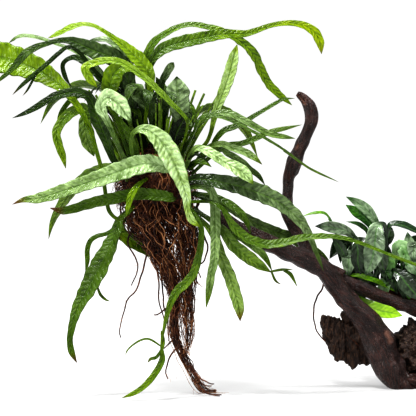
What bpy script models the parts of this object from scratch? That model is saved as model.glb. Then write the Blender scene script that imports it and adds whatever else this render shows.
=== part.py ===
"""Java fern on driftwood: a fern whose rhizome and root ball sit on the end of a branching piece of
driftwood, with a small broad-leaved plant behind the wood. Every leaf, limb and root bundle is its own
closed solid.

Frame: metres, +Z up, +X along the length of the piece, -Y towards the side it is mostly seen from.
The origin is on the flat foot of the driftwood. All the points below are in millimetres."""

import math

import bmesh
import bpy
from mathutils import Vector

MM = 0.001

GAP = 0.45                       # clearance between neighbouring pieces
CORE_CENTRE = (-244, -57, 216)   # middle of the fern's rhizome and root ball
CORE_RADII = (39, 35, 41)        # its half sizes along X, Y and Z
CORE_LUMP = 3.0                  # how deep its lumps go in

LEAF_STEP = 12.0                 # spacing of a blade's cross-sections
LEAF_THICKNESS = 1.5             # at the midrib
LEAF_FOLD = 0.13                 # rise of the margins over the midrib, as a share of the width
WOOD_STEP = 11.0                 # spacing of a limb's cross-sections
WOOD_SIDES = 9
ROOT_SIDES = 8
STRAND_SIDES = 5
# Straight steps along each stretch of a smooth curve, and steps in the search for the way out of the core.
CURVE_STEPS = 12
SEARCH_STEPS = 400
# How far a limb's section swells and shrinks along its length, as a share of its radius.
LIMB_LUMP = 0.05
BRANCH_LUMP = 0.06
# Depth of a section over its width.
RUNNER_DEPTH = 1.25
BUNDLE_DEPTH = 1.25

FACE_FRONT = (0, -1.0, 0.35)     # the way a blade's upper side looks
FACE_SKY = (0, -0.45, 1.0)
FACE_LEFT = (-0.5, -0.8, 0.4)
FACE_RIGHT = (0.5, -0.8, 0.4)

# Each blade: name, the way its upper side looks at its base and at its tip, and the points of its
# midrib from the rhizome to the tip, as (x, y, z, width).
FERN_LEAVES = [
    ("fern_leaf_left_big", FACE_FRONT, FACE_FRONT, [
        (-262, -78, 196, 4), (-279, -92, 182, 4), (-290, -93, 190, 4), (-297, -92, 229, 4),
        (-304, -90, 254, 4.5), (-309, -88, 271, 5), (-317, -85, 287, 6), (-327, -81, 301, 8),
        (-336, -77, 311, 12), (-349, -71, 320, 19), (-364, -64, 328, 25), (-385, -58, 335, 30),
        (-402, -55, 339, 31), (-425, -52, 342, 24), (-452, -50, 340, 0)]),
    ("fern_leaf_left_arch", FACE_SKY, FACE_SKY, [
        (-260, -58, 244, 4), (-280, -59, 288, 4), (-296, -57, 319, 6), (-308, -55, 332, 7),
        (-317, -53, 340, 7), (-329, -51, 346, 6), (-339, -49, 350, 6), (-352, -47, 354, 6),
        (-364, -45, 358, 7), (-375, -44, 358, 7), (-382, -43, 357, 6), (-391, -42, 351, 0)]),
    ("fern_leaf_left_long", FACE_FRONT, FACE_FRONT, [
        (-257, -68, 244, 4), (-264, -74, 280, 5), (-270, -75, 313, 12), (-276, -76, 332, 16),
        (-288, -77, 342, 18), (-303, -79, 347, 18), (-320, -81, 355, 12), (-334, -82, 359, 6),
        (-349, -82, 356, 5), (-364, -82, 351, 7), (-372, -82, 346, 8), (-381, -82, 336, 7),
        (-388, -82, 328, 5), (-400, -82, 318, 3), (-405, -82, 313, 0)]),
    ("fern_leaf_left_narrow", FACE_FRONT, FACE_FRONT, [
        (-260, -64, 240, 4), (-284, -68, 300, 4), (-308, -69, 331, 4), (-325, -71, 350, 4),
        (-334, -73, 349, 4), (-341, -75, 344, 4.5), (-349, -78, 337, 4.5), (-362, -80, 326, 4.5),
        (-375, -81, 315, 4), (-386, -82, 304, 0)]),
    ("fern_leaf_top_left", FACE_FRONT, FACE_SKY, [
        (-248, -66, 250, 4), (-254, -76, 271, 4), (-252, -77, 294, 4), (-250, -77, 305, 5),
        (-249, -77, 319, 10), (-253, -77, 328, 14), (-258, -77, 335, 16), (-269, -76, 346, 14),
        (-282, -75, 357, 8), (-296, -73, 367, 5), (-310, -71, 373, 6), (-324, -69, 371, 8.5),
        (-338, -67, 364, 10), (-351, -66, 359, 0)]),
    ("fern_leaf_left_blistered", FACE_FRONT, FACE_SKY, [
        (-250, -54, 248, 4), (-262, -57, 290, 4), (-269, -62, 321, 9), (-273, -63, 334, 13),
        (-279, -63, 348, 14), (-288, -62, 355, 11), (-300, -61, 357, 8), (-314, -60, 354, 0)]),
    ("fern_leaf_left_curl", FACE_FRONT, FACE_LEFT, [
        (-256, -50, 244, 4), (-280, -46, 295, 4), (-296, -45, 315, 9), (-305, -44, 326, 11),
        (-315, -43, 334, 9), (-324, -42, 337, 6), (-332, -42, 336, 5), (-336, -42, 330, 5),
        (-335, -42, 321, 5), (-331, -42, 314, 4), (-328, -42, 308, 0)]),
    ("fern_leaf_front_arch", FACE_SKY, FACE_FRONT, [
        (-224, -80, 240, 4), (-212, -99, 274, 4), (-217, -101, 286, 5), (-230, -101, 299, 7),
        (-250, -101, 319, 8), (-266, -100, 331, 8), (-283, -100, 340, 8), (-300, -101, 339, 8),
        (-312, -104, 335, 9), (-313, -106, 329, 9), (-308, -107, 322, 8), (-301, -107, 314, 0)]),
    ("fern_leaf_centre_bright", FACE_FRONT, FACE_FRONT, [
        (-260, -72, 228, 4.5), (-269, -88, 242, 4.5), (-279, -88, 273, 4.5), (-284, -88, 287, 5),
        (-288, -88, 298, 9), (-289, -88, 309, 15), (-287, -88, 321, 20), (-280, -88, 331, 17),
        (-270, -88, 333, 10), (-256, -87, 325, 0)]),
    ("fern_leaf_left_glossy", FACE_FRONT, FACE_FRONT, [
        (-268, -76, 224, 4), (-283, -96, 238, 4.5), (-292, -98, 260, 9), (-300, -99, 280, 15),
        (-305, -99, 294, 12), (-311, -99, 305, 9), (-322, -99, 309, 9), (-336, -99, 307, 9),
        (-347, -99, 303, 8), (-360, -99, 295, 6.5), (-373, -99, 288, 4.5), (-386, -99, 283, 0)]),
    ("fern_leaf_centre_droop", FACE_LEFT, FACE_RIGHT, [
        (-262, -80, 226, 4), (-277, -108, 250, 4), (-291, -110, 280, 6), (-298, -110, 296, 12),
        (-293, -110, 304, 18), (-282, -110, 299, 19), (-274, -110, 289, 13), (-267, -110, 279, 0)]),
    ("fern_leaf_left_hanging", FACE_FRONT, FACE_FRONT, [
        (-266, -68, 222, 4), (-284, -77, 235, 5), (-294, -77, 257, 7), (-300, -77, 270, 8),
        (-308, -77, 284, 10), (-316, -77, 290, 11), (-326, -77, 287, 11), (-336, -77, 278, 10),
        (-342, -77, 268, 9), (-341, -77, 257, 8), (-337, -77, 246, 8), (-333, -77, 230, 0)]),
    ("fern_leaf_left_veined", FACE_FRONT, FACE_FRONT, [
        (-264, -60, 222, 4), (-285, -60, 242, 4), (-292, -60, 264, 4), (-298, -61, 281, 4),
        (-306, -63, 288, 5), (-313, -66, 281, 10), (-313, -67, 267, 15), (-310, -67, 254, 14),
        (-305, -67, 241, 0)]),
    ("fern_leaf_front_pale", FACE_FRONT, FACE_FRONT, [
        (-260, -80, 228, 4), (-266, -101, 244, 4), (-268, -106, 258, 4), (-266, -110, 269, 4.5),
        (-258, -113, 274, 8), (-247, -115, 270, 15), (-236, -116, 259, 20), (-227, -117, 243, 20),
        (-219, -117, 225, 15), (-213, -117, 205, 9), (-212, -117, 192, 6), (-207, -117, 182, 7),
        (-199, -117, 176, 0)]),
    ("fern_leaf_low_left_upper", FACE_FRONT, FACE_FRONT, [
        (-236, -80, 220, 5), (-225, -98, 231, 8), (-240, -102, 236, 15), (-253, -104, 238, 19),
        (-270, -106, 234, 20), (-290, -107, 227, 18), (-316, -108, 218, 15), (-340, -108, 210, 13),
        (-360, -108, 204, 10), (-373, -108, 203, 6), (-386, -108, 198, 0)]),
    ("fern_leaf_low_left_lower", FACE_FRONT, FACE_FRONT, [
        (-232, -76, 204, 5), (-224, -95, 203, 8), (-236, -97, 205, 11), (-250, -99, 207, 12),
        (-266, -100, 207, 12.5), (-286, -101, 203, 12), (-306, -102, 199, 11), (-325, -102, 193, 9),
        (-340, -102, 191, 6.5), (-349, -102, 194, 0)]),
    ("fern_leaf_low_small", FACE_FRONT, FACE_FRONT, [
        (-250, -84, 222, 3), (-257, -104, 220, 4), (-265, -110, 213, 6.5), (-270, -112, 201, 6.5),
        (-273, -112, 186, 0)]),
    ("fern_leaf_hanging_left", FACE_LEFT, FACE_FRONT, [
        (-262, -66, 192, 5), (-278, -73, 180, 8), (-284, -77, 164, 13), (-292, -80, 146, 18),
        (-302, -82, 127, 21), (-312, -83, 108, 17), (-321, -83, 92, 12), (-325, -83, 80, 9),
        (-329, -83, 62, 6), (-328, -83, 49, 7), (-322, -83, 36, 0)]),
    ("fern_leaf_behind_roots", FACE_FRONT, FACE_FRONT, [
        (-258, -36, 196, 4), (-278, -28, 172, 8), (-278, -26, 158, 13), (-266, -26, 151, 15),
        (-252, -26, 142, 12), (-241, -26, 132, 0)]),
    ("fern_leaf_over_roots", FACE_RIGHT, FACE_FRONT, [
        (-216, -80, 200, 4), (-200, -96, 176, 6), (-200, -98, 154, 7), (-205, -99, 133, 8.5),
        (-211, -99, 121, 9), (-220, -99, 114, 9), (-229, -99, 99, 7), (-233, -98, 85, 4.5),
        (-236, -97, 71, 3), (-238, -96, 55, 0)]),
    ("fern_leaf_top_right_far", FACE_SKY, FACE_RIGHT, [
        (-244, -50, 250, 4), (-249, -50, 292, 4), (-254, -50, 325, 6), (-252, -50, 341, 9),
        (-245, -49, 353, 9), (-231, -48, 363, 8), (-213, -46, 370, 7), (-196, -43, 368, 8),
        (-179, -40, 363, 9), (-164, -36, 355, 11), (-153, -33, 346, 12), (-145, -30, 335, 12),
        (-139, -28, 321, 11), (-130, -26, 306, 10), (-119, -24, 296, 8), (-108, -22, 287, 0)]),
    ("fern_leaf_top_right_near", FACE_FRONT, FACE_FRONT, [
        (-240, -62, 252, 4), (-245, -64, 292, 4), (-250, -65, 320, 5), (-248, -65, 336, 8),
        (-235, -64, 349, 12), (-215, -61, 355, 13), (-195, -58, 359, 12), (-175, -55, 362, 10),
        (-155, -52, 362, 7), (-138, -49, 367, 5.5), (-124, -46, 371, 5), (-103, -42, 371, 6.5),
        (-88, -39, 364, 9), (-81, -38, 353, 9), (-79, -37, 340, 0)]),
    ("fern_leaf_blistered", FACE_FRONT, FACE_FRONT, [
        (-224, -68, 246, 5), (-219, -73, 275, 12), (-220, -73, 288, 20), (-222, -73, 303, 22),
        (-223, -73, 318, 20), (-223, -73, 322, 0)]),
    ("fern_leaf_right_long", FACE_SKY, FACE_SKY, [
        (-220, -76, 236, 4), (-205, -92, 270, 4), (-199, -94, 284, 6), (-188, -94, 285, 7),
        (-169, -92, 279, 7), (-148, -88, 268, 6.5), (-134, -85, 260, 6), (-117, -81, 249, 5),
        (-104, -77, 239, 4), (-90, -73, 229, 3.5), (-76, -70, 222, 3), (-61, -67, 215, 0)]),
    ("fern_leaf_right_pale_upper", FACE_FRONT, FACE_FRONT, [
        (-220, -70, 240, 3.5), (-201, -80, 274, 4), (-187, -80, 284, 6), (-173, -80, 286, 7),
        (-155, -80, 278, 7), (-143, -79, 271, 6.5), (-131, -78, 265, 6), (-117, -77, 262, 5),
        (-105, -76, 260, 0)]),
    ("fern_leaf_right_upright", FACE_FRONT, FACE_FRONT, [
        (-216, -58, 234, 4), (-193, -62, 255, 4), (-188, -64, 271, 4.5), (-183, -65, 289, 8),
        (-176, -65, 307, 11), (-170, -65, 325, 12), (-166, -64, 342, 9), (-163, -64, 353, 0)]),
    ("fern_leaf_right_far", FACE_FRONT, FACE_SKY, [
        (-214, -52, 228, 3.5), (-192, -50, 243, 4), (-181, -50, 261, 6), (-170, -48, 267, 7),
        (-160, -45, 270, 7), (-150, -42, 276, 6), (-134, -37, 285, 5), (-117, -32, 294, 4),
        (-105, -30, 295, 0)]),
    ("fern_leaf_right_pale_middle", FACE_FRONT, FACE_FRONT, [
        (-212, -70, 224, 3.5), (-196, -84, 248, 4), (-183, -86, 256, 6), (-168, -86, 252, 7.5),
        (-154, -86, 247, 7.5), (-146, -86, 242, 6), (-138, -86, 235, 0)]),
    ("fern_leaf_right_folded", FACE_FRONT, FACE_RIGHT, [
        (-217, -80, 226, 4), (-205, -99, 252, 6), (-194, -102, 251, 9), (-185, -105, 246, 10.5),
        (-176, -106, 240, 10), (-166, -107, 235, 13), (-158, -107, 230, 15), (-152, -107, 224, 11),
        (-147, -107, 218, 0)]),
    ("fern_leaf_right_big", FACE_FRONT, FACE_RIGHT, [
        (-226, -80, 212, 5), (-210, -97, 221, 8), (-195, -100, 222, 12), (-178, -101, 219, 15),
        (-160, -100, 215, 18), (-142, -97, 208, 19), (-125, -92, 200, 17), (-112, -87, 190, 15),
        (-100, -82, 177, 12), (-92, -78, 164, 8), (-86, -74, 149, 6), (-82, -71, 139, 4.5),
        (-77, -69, 126, 0)]),
    ("fern_leaf_right_reaching", FACE_RIGHT, FACE_SKY, [
        (-214, -72, 196, 4), (-188, -98, 199, 5), (-178, -101, 193, 6), (-171, -101, 181, 9),
        (-162, -100, 169, 12), (-148, -98, 160, 12), (-132, -95, 156, 11), (-115, -92, 158, 10),
        (-98, -90, 162, 9), (-80, -86, 163, 8), (-60, -80, 161, 7), (-38, -75, 154, 6),
        (-12, -71, 143, 5), (16, -67, 132, 4), (34, -65, 124, 0)]),
    ("fern_leaf_right_behind", FACE_FRONT, FACE_FRONT, [
        (-214, -50, 204, 4), (-176, -40, 188, 6), (-160, -30, 178, 9), (-144, -20, 168, 10),
        (-125, -8, 158, 11), (-108, 6, 150, 11), (-96, 14, 141, 10), (-82, 19, 134, 8),
        (-70, 23, 125, 0)]),
    ("fern_leaf_right_olive", FACE_RIGHT, FACE_RIGHT, [
        (-216, -68, 206, 4), (-196, -78, 203, 7), (-180, -80, 199, 9), (-166, -81, 191, 9),
        (-156, -82, 181, 8), (-149, -82, 164, 0)]),
    ("fern_leaf_right_low", FACE_FRONT, FACE_FRONT, [
        (-214, -64, 192, 4), (-192, -74, 180, 5), (-178, -81, 170, 9), (-170, -83, 158, 12),
        (-157, -84, 146, 13), (-143, -84, 136, 11), (-129, -84, 127, 0)]),
    ("fern_leaf_hanging_right", FACE_FRONT, FACE_FRONT, [
        (-216, -60, 190, 4), (-195, -70, 174, 5), (-184, -75, 158, 9), (-179, -76, 141, 11),
        (-172, -76, 126, 12), (-166, -76, 108, 12), (-161, -76, 90, 10), (-160, -76, 77, 0)]),
    ("fern_leaf_hanging_front", FACE_RIGHT, FACE_FRONT, [
        (-220, -70, 208, 4), (-202, -84, 213, 6), (-190, -87, 210, 9), (-186, -87, 198, 11),
        (-185, -88, 176, 11), (-185, -89, 158, 10), (-186, -90, 140, 9), (-189, -90, 126, 8),
        (-191, -90, 110, 7), (-194, -90, 92, 0)]),
]

PLANTLETS = [
    ("plantlet_low", FACE_FRONT, FACE_FRONT, [
        (-238, -96, 53, 3), (-237, -95, 43, 6), (-244, -95, 28, 6.5), (-253, -94, 17, 6),
        (-261, -94, 10, 5), (-269, -94, 6, 4), (-278, -93, 2.5, 0)]),
]

# The broad-leaved plant behind the wood.
BROAD_LEAVES = [
    ("broad_leaf_top_pale", FACE_FRONT, FACE_FRONT, [
        (-18, 33, 98, 2.5), (-17, 30, 130, 3), (-21, 28, 157, 5), (-30, 26, 173, 10),
        (-40, 25, 182, 10), (-54, 24, 190, 0)]),
    ("broad_leaf_top_green", FACE_FRONT, FACE_FRONT, [
        (-24, 36, 98, 2.5), (-25, 38, 135, 3), (-29, 38, 160, 7), (-41, 38, 171, 12),
        (-54, 38, 180, 0)]),
    ("broad_leaf_right_dark", FACE_SKY, FACE_SKY, [
        (-9, 36, 97, 2.5), (-12, 38, 135, 3), (-10, 38, 158, 7), (2, 38, 159, 13), (14, 38, 154, 11),
        (26, 38, 148, 0)]),
    ("broad_leaf_front_big", FACE_FRONT, FACE_FRONT, [
        (-27, 24, 104, 2.5), (-14, 23, 135, 3), (-15, 19, 160, 4), (-21, 12, 164, 9),
        (-24, 8, 154, 18), (-25, 6, 142, 21), (-28, 5, 128, 18), (-34, 4, 112, 0)]),
    ("broad_leaf_front_dark", FACE_FRONT, FACE_FRONT, [
        (-45, 27, 101, 2.5), (-49, 24, 130, 3), (-47, 19, 147, 5), (-43, 14, 146, 9),
        (-42, 11, 137, 13), (-42, 10, 126, 13), (-39, 9, 113, 0)]),
    ("broad_leaf_left_grey", FACE_FRONT, FACE_FRONT, [
        (-38, 32, 101, 2.5), (-38, 30, 130, 3), (-48, 26, 151, 7), (-60, 22, 157, 12),
        (-72, 19, 160, 11), (-85, 16, 161, 0)]),
    ("broad_leaf_left_bent", FACE_SKY, FACE_SKY, [
        (-52, 31, 101, 2.5), (-60, 31, 140, 3), (-68, 30, 162, 4), (-74, 28, 171, 6),
        (-80, 26, 174, 6), (-98, 22, 170, 0)]),
    ("broad_leaf_glossy_oval", FACE_FRONT, FACE_FRONT, [
        (0, 27, 98, 2.5), (-8, 22, 112, 4), (-3, 14, 115, 9), (5, 9, 106, 17), (13, 6, 97, 16),
        (22, 4, 87, 0)]),
    ("broad_leaf_right_upright", FACE_FRONT, FACE_FRONT, [
        (6, 34, 96, 2.5), (12, 29, 117, 4), (12, 27, 126, 12), (10, 27, 138, 16), (8, 28, 154, 0)]),
    ("broad_leaf_between_limbs", FACE_FRONT, FACE_FRONT, [
        (-52, 22, 96, 3), (-46, 14, 89, 8), (-37, 8, 84, 12), (-23, 4.5, 78, 14), (-9, 4, 75, 12),
        (3, 4, 72, 0)]),
]

LIMB_POINTS = [
    (-222, -57, 202, 15), (-185, -51, 179, 16), (-160, -46, 165, 16), (-142, -43, 156, 16.5),
    (-125, -39, 148, 17), (-108, -34, 139, 17), (-91, -29, 131, 18), (-76, -24, 121, 18),
    (-64, -19, 105, 19), (-49, -14, 87, 21), (-35, -10, 72, 24), (-25, -7, 57, 28),
    (-19, -5, 42, 30), (-13, -3, 26, 30), (-4, -2, 11, 27), (5, -1, 2, 23), (14, 0, -7, 20)]
HOOK_POINTS = [
    (-58, 4, 112, 12), (-66, 2, 117, 12), (-73, 0, 121, 12), (-83, -2, 130, 12), (-92, -4, 141, 11.5),
    (-100, -6, 153, 11), (-107, -7, 164, 11.5), (-113, -8, 177, 12), (-113, -8, 187, 11),
    (-112, -8, 200, 9.5), (-111, -8, 215, 11.5), (-106, -8, 227, 14.5), (-102, -8, 238, 12.5),
    (-97, -8, 249, 11.5), (-92, -7, 261, 12), (-89, -6, 271, 13), (-90, -5, 281, 12.5),
    (-94, -4, 290, 9), (-99, -4, 295, 6)]
REAR_POINTS = [
    (-83, -2, 130, 12), (-73, 0, 121, 12), (-62, 4, 112, 12), (-48, 6, 104, 12.5),
    (-34, 8, 98, 12.5), (-18, 11, 90, 13), (0, 14, 83, 13.5), (16, 18, 77, 14), (42, 25, 62, 15),
    (68, 33, 38, 17), (86, 38, 14, 19), (96, 41, -8, 20)]
RUNNER_POINTS = [
    (12, 0, 7, 15), (24, -3, 7, 16), (46, -8, 7, 15), (70, -15, 6, 13), (92, -24, 3, 9), (104, -30, 1, 5)]
FORK_POINT = (-66, 2, 116)       # the hook branch leaves the rear limb here
FORK_NORMAL = (-0.76, -0.2, 0.62)

SLAB_LEFT_OUTLINE = [
    (-77, 71), (-63, 68), (-55, 64), (-54.2, 24), (-63, 25), (-67, 30), (-75, 47), (-78.4, 63)]
SLAB_RIGHT_OUTLINE = [
    (-53.4, 63), (-44, 64), (-30, 62), (-15, 58), (-12, 22), (-28, 22), (-42, 21), (-47, 16), (-53.4, 25)]
SLAB_NEAR = 13                   # Y of the slabs' near and far faces
SLAB_FAR = 23

CHUNK_CENTRE = (33, 22, 33)
CHUNK_RADII = (49, 25, 37)
CHUNK_LUMP = 5.0

STEM_POINTS = [
    (-60, 29, 93, 9), (-44, 30, 94, 11), (-20, 30, 91, 12), (4, 31, 88, 11), (18, 34, 84, 8)]

BUNDLE_LEFT = [
    (-258, -57, 190, 34), (-259, -57, 176, 30), (-246, -57, 158, 25), (-235, -57, 133, 17),
    (-226, -57, 106, 9.5), (-227, -56, 66, 8.5), (-221.5, -52.5, 46, 8), (-210, -47, 24, 9),
    (-200, -42.5, 6, 9), (-192, -41.5, 2, 6), (-183, -41.5, 0.8, 0)]
BUNDLE_RIGHT = [
    (-222, -57, 190, 32), (-223, -57, 176, 30), (-214, -57, 158, 26), (-213, -57, 133, 17),
    (-213, -57, 106, 10), (-211.5, -57, 66, 9.5), (-211, -57, 54, 5), (-212, -57, 44, 0)]
STRAND_LEFT = [
    (-252, -70, 150, 3), (-256, -72, 131, 3), (-263, -73, 109, 3), (-271, -73, 100, 3),
    (-275, -73, 89, 2.6), (-280, -73, 68, 2.2), (-279, -73, 60, 1.8)]


def clear_scene():
    for obj in list(bpy.data.objects):
        bpy.data.objects.remove(obj)


def make_material(name, colour, roughness):
    material = bpy.data.materials.new(name)
    material.use_nodes = True
    shader = material.node_tree.nodes["Principled BSDF"]
    shader.inputs["Base Color"].default_value = (*colour, 1)
    shader.inputs["Roughness"].default_value = roughness
    shader.inputs["Metallic"].default_value = 0
    return material


def add_object(name, mesh_data, material):
    """Takes a bmesh in millimetres and leaves a named object in metres."""
    bmesh.ops.recalc_face_normals(mesh_data, faces=mesh_data.faces)
    bmesh.ops.scale(mesh_data, vec=(MM, MM, MM), verts=mesh_data.verts)
    mesh = bpy.data.meshes.new(name)
    mesh_data.to_mesh(mesh)
    mesh_data.free()
    mesh.materials.append(material)
    obj = bpy.data.objects.new(name, mesh)
    bpy.context.scene.collection.objects.link(obj)
    return obj


def smooth_points(points, share):
    """Catmull-Rom point and width at a share, 0 to 1, of the way through the hand-set points."""
    last = len(points) - 1
    place = min(max(share, 0.0), 1.0) * last
    i = min(int(place), last - 1)
    t = place - i
    p0, p1, p2, p3 = (Vector(points[min(max(k, 0), last)]) for k in (i - 1, i, i + 1, i + 2))
    a = 2 * p1
    b = p2 - p0
    c = 2 * p0 - 5 * p1 + 4 * p2 - p3
    d = -p0 + 3 * p1 - 3 * p2 + p3
    return (a + b * t + c * t * t + d * t ** 3) * 0.5


def even_path(points, step, start_share=0.0):
    """Evenly spaced (place, tangent, width, share) along the smooth curve through the points."""
    fine = CURVE_STEPS * (len(points) - 1)
    shares = [start_share + (1 - start_share) * k / fine for k in range(fine + 1)]
    dense = [smooth_points([Vector(p) for p in points], s) for s in shares]
    lengths = [0.0]
    for one, two in zip(dense, dense[1:]):
        lengths.append(lengths[-1] + (two - one).xyz.length)
    count = max(4, round(lengths[-1] / step))
    path = []
    k = 0
    for n in range(count + 1):
        want = lengths[-1] * n / count
        while k < fine - 1 and lengths[k + 1] < want:
            k += 1
        t = (want - lengths[k]) / max(lengths[k + 1] - lengths[k], 1e-9)
        here = dense[k].lerp(dense[k + 1], t)
        path.append((here.xyz, max(here.w, 0.0), shares[k] + (shares[k + 1] - shares[k]) * t))
    places = [p[0] for p in path]
    result = []
    for n, (place, width, share) in enumerate(path):
        tangent = places[min(n + 1, count)] - places[max(n - 1, 0)]
        result.append((place, tangent.normalized(), width, share))
    return result


def blade_section(place, tangent, width, facing):
    """Left margin, upper midrib, right margin and lower midrib of a blade."""
    side = tangent.cross(facing).normalized()
    up = side.cross(tangent)
    rise = up * (width * LEAF_FOLD)
    half = side * (width / 2)
    thick = up * (LEAF_THICKNESS / 2)
    return [place + half + rise, place + thick, place - half + rise, place - thick]


def outside_core(corners):
    for corner in corners:
        offset = corner - Vector(CORE_CENTRE)
        size = sum((offset[k] / (CORE_RADII[k] + GAP)) ** 2 for k in range(3))
        if size < 1:
            return False
    return True


def leave_core(points, section):
    """The share of the way along at which a whole cross-section is clear of the root ball."""
    vectors = [Vector(p) for p in points]
    start = 0.0
    for k in range(SEARCH_STEPS):
        here = smooth_points(vectors, k / SEARCH_STEPS)
        ahead = smooth_points(vectors, (k + 1) / SEARCH_STEPS)
        tangent = (ahead - here).xyz.normalized()
        if not outside_core(section(here.xyz, tangent, here.w)):
            start = (k + 1) / SEARCH_STEPS
    return start


def bridge(mesh_data, rings, tip):
    """Joins closed rings into a tube with a flat cap at its start and a cap or a point at its end."""
    layers = [[mesh_data.verts.new(corner) for corner in ring] for ring in rings]
    sides = len(layers[0])
    for one, two in zip(layers, layers[1:]):
        for k in range(sides):
            mesh_data.faces.new((one[k], one[(k + 1) % sides], two[(k + 1) % sides], two[k]))
    mesh_data.faces.new(layers[0])
    if tip is None:
        mesh_data.faces.new(layers[-1])
    else:
        point = mesh_data.verts.new(tip)
        for k in range(sides):
            mesh_data.faces.new((layers[-1][k], layers[-1][(k + 1) % sides], point))


def add_leaf(name, face_base, face_tip, points, material):
    base, tip = Vector(face_base), Vector(face_tip)

    def section(place, tangent, width, share=0.0):
        return blade_section(place, tangent, width, base.lerp(tip, share))

    path = even_path(points, LEAF_STEP, leave_core(points, section))
    rings = [section(place, tangent, width, share) for place, tangent, width, share in path[:-1]]
    mesh_data = bmesh.new()
    bridge(mesh_data, rings, path[-1][0])
    return add_object(name, mesh_data, material)


def round_section(place, tangent, width, sides, depth=1.0, lump=0.0):
    across = Vector((0, 1, 0))
    across = (across - tangent * across.dot(tangent)).normalized()
    other = across.cross(tangent)
    ring = []
    for k in range(sides):
        angle = 2 * math.pi * k / sides
        wave = math.sin(3 * angle + place.x * 0.07 + place.z * 0.11) + math.sin(angle + place.z * 0.05)
        radius = width / 2 * (1 + lump * 0.5 * wave)
        ring.append(place + other * (radius * math.cos(angle)) + across * (radius * depth * math.sin(angle)))
    return ring


def tube_mesh(points, step, sides, depth=1.0, lump=0.0, start_share=0.0, pointed=False, grow=0.0):
    path = even_path(points, step, start_share)
    if pointed:
        tip = path[-1][0]
        path = path[:-1]
    else:
        tip = None
    rings = [round_section(place, tangent, width + grow, sides, depth, lump)
             for place, tangent, width, _ in path]
    mesh_data = bmesh.new()
    bridge(mesh_data, rings, tip)
    return mesh_data


def cut_flat(mesh_data, point, normal):
    """Removes what lies behind the plane and closes the cut."""
    geometry = mesh_data.verts[:] + mesh_data.edges[:] + mesh_data.faces[:]
    result = bmesh.ops.bisect_plane(
        mesh_data, geom=geometry, dist=1e-6, plane_co=point, plane_no=normal, clear_inner=True)
    edges = [item for item in result["geom_cut"] if isinstance(item, bmesh.types.BMEdge)]
    bmesh.ops.holes_fill(mesh_data, edges=edges)


def lumpy_ball(centre, radii, lump, detail):
    """A ball with dents, never outside the ellipsoid of the given radii."""
    mesh_data = bmesh.new()
    bmesh.ops.create_icosphere(mesh_data, subdivisions=detail, radius=1)
    for vert in mesh_data.verts:
        direction = vert.co.copy()
        wave = math.sin(5.1 * direction.x + 2.0) * math.sin(4.3 * direction.y + 1.0)
        wave += math.sin(6.7 * direction.z + 3.1 * direction.x)
        shrink = 1 - lump / min(radii) * (0.5 + 0.25 * wave)
        vert.co = Vector(centre[k] + radii[k] * direction[k] * shrink for k in range(3))
    return mesh_data


def carve(obj, cutter_mesh):
    """Cuts a clearance for a neighbouring piece out of an object."""
    cutter = add_object("cutter", cutter_mesh, obj.data.materials[0])
    modifier = obj.modifiers.new("clearance", "BOOLEAN")
    modifier.operation = "DIFFERENCE"
    modifier.object = cutter
    bpy.context.view_layer.update()
    carved = bpy.data.meshes.new_from_object(obj.evaluated_get(bpy.context.evaluated_depsgraph_get()))
    obj.modifiers.clear()
    obj.data = carved
    bpy.data.objects.remove(cutter)


def slab_mesh(outline, near, far):
    """An upright slab of bark, a little thinner towards its edges."""
    mesh_data = bmesh.new()
    middle_x = sum(x for x, _ in outline) / len(outline)
    middle_z = sum(z for _, z in outline) / len(outline)
    rings = []
    for y, share in ((near, 0.82), (near + 3, 1.0), (far - 3, 1.0), (far, 0.85)):
        rings.append([Vector((middle_x + (x - middle_x) * share, y, middle_z + (z - middle_z) * share))
                      for x, z in outline])
    bridge(mesh_data, rings, None)
    return mesh_data


def core_section(place, tangent, width, share=0.0):
    return round_section(place, tangent, width, WOOD_SIDES)


def limb_mesh(grow=0.0):
    return tube_mesh(LIMB_POINTS, WOOD_STEP, WOOD_SIDES, lump=LIMB_LUMP, grow=grow,
                     start_share=leave_core(LIMB_POINTS, core_section))


def rear_mesh(grow=0.0):
    return tube_mesh(REAR_POINTS, WOOD_STEP, WOOD_SIDES, lump=BRANCH_LUMP, grow=grow)


def runner_mesh(grow=0.0):
    return tube_mesh(RUNNER_POINTS, WOOD_STEP, WOOD_SIDES, lump=LIMB_LUMP, depth=RUNNER_DEPTH, grow=grow)


def make_driftwood(wood, bark):
    floor = ((0, 0, 0), (0, 0, 1))
    limb = limb_mesh()
    cut_flat(limb, *floor)
    add_object("driftwood_limb", limb, wood)

    fork = Vector(FORK_POINT)
    away = Vector(FORK_NORMAL).normalized()
    hook = tube_mesh(HOOK_POINTS, WOOD_STEP, WOOD_SIDES, lump=BRANCH_LUMP)
    cut_flat(hook, fork + away * (GAP / 2), away)
    add_object("driftwood_hook_branch", hook, wood)
    rear = rear_mesh()
    cut_flat(rear, fork - away * (GAP / 2), -away)
    cut_flat(rear, *floor)
    add_object("driftwood_rear_limb", rear, wood)

    runner = runner_mesh()
    cut_flat(runner, *floor)
    runner_object = add_object("driftwood_runner", runner, wood)
    carve(runner_object, limb_mesh(2 * GAP))

    chunk = lumpy_ball(CHUNK_CENTRE, CHUNK_RADII, CHUNK_LUMP, 2)
    cut_flat(chunk, *floor)
    chunk_object = add_object("driftwood_rough_heart", chunk, bark)
    for neighbour in (limb_mesh(2 * GAP), rear_mesh(2 * GAP), runner_mesh(2 * GAP)):
        carve(chunk_object, neighbour)

    add_object("bark_slab_left", slab_mesh(SLAB_LEFT_OUTLINE, SLAB_NEAR, SLAB_FAR), bark)
    slab = add_object("bark_slab_right", slab_mesh(SLAB_RIGHT_OUTLINE, SLAB_NEAR, SLAB_FAR), bark)
    carve(slab, limb_mesh(2 * GAP))
    carve(slab, lumpy_ball(CHUNK_CENTRE, [r + GAP for r in CHUNK_RADII], 0, 2))


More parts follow.
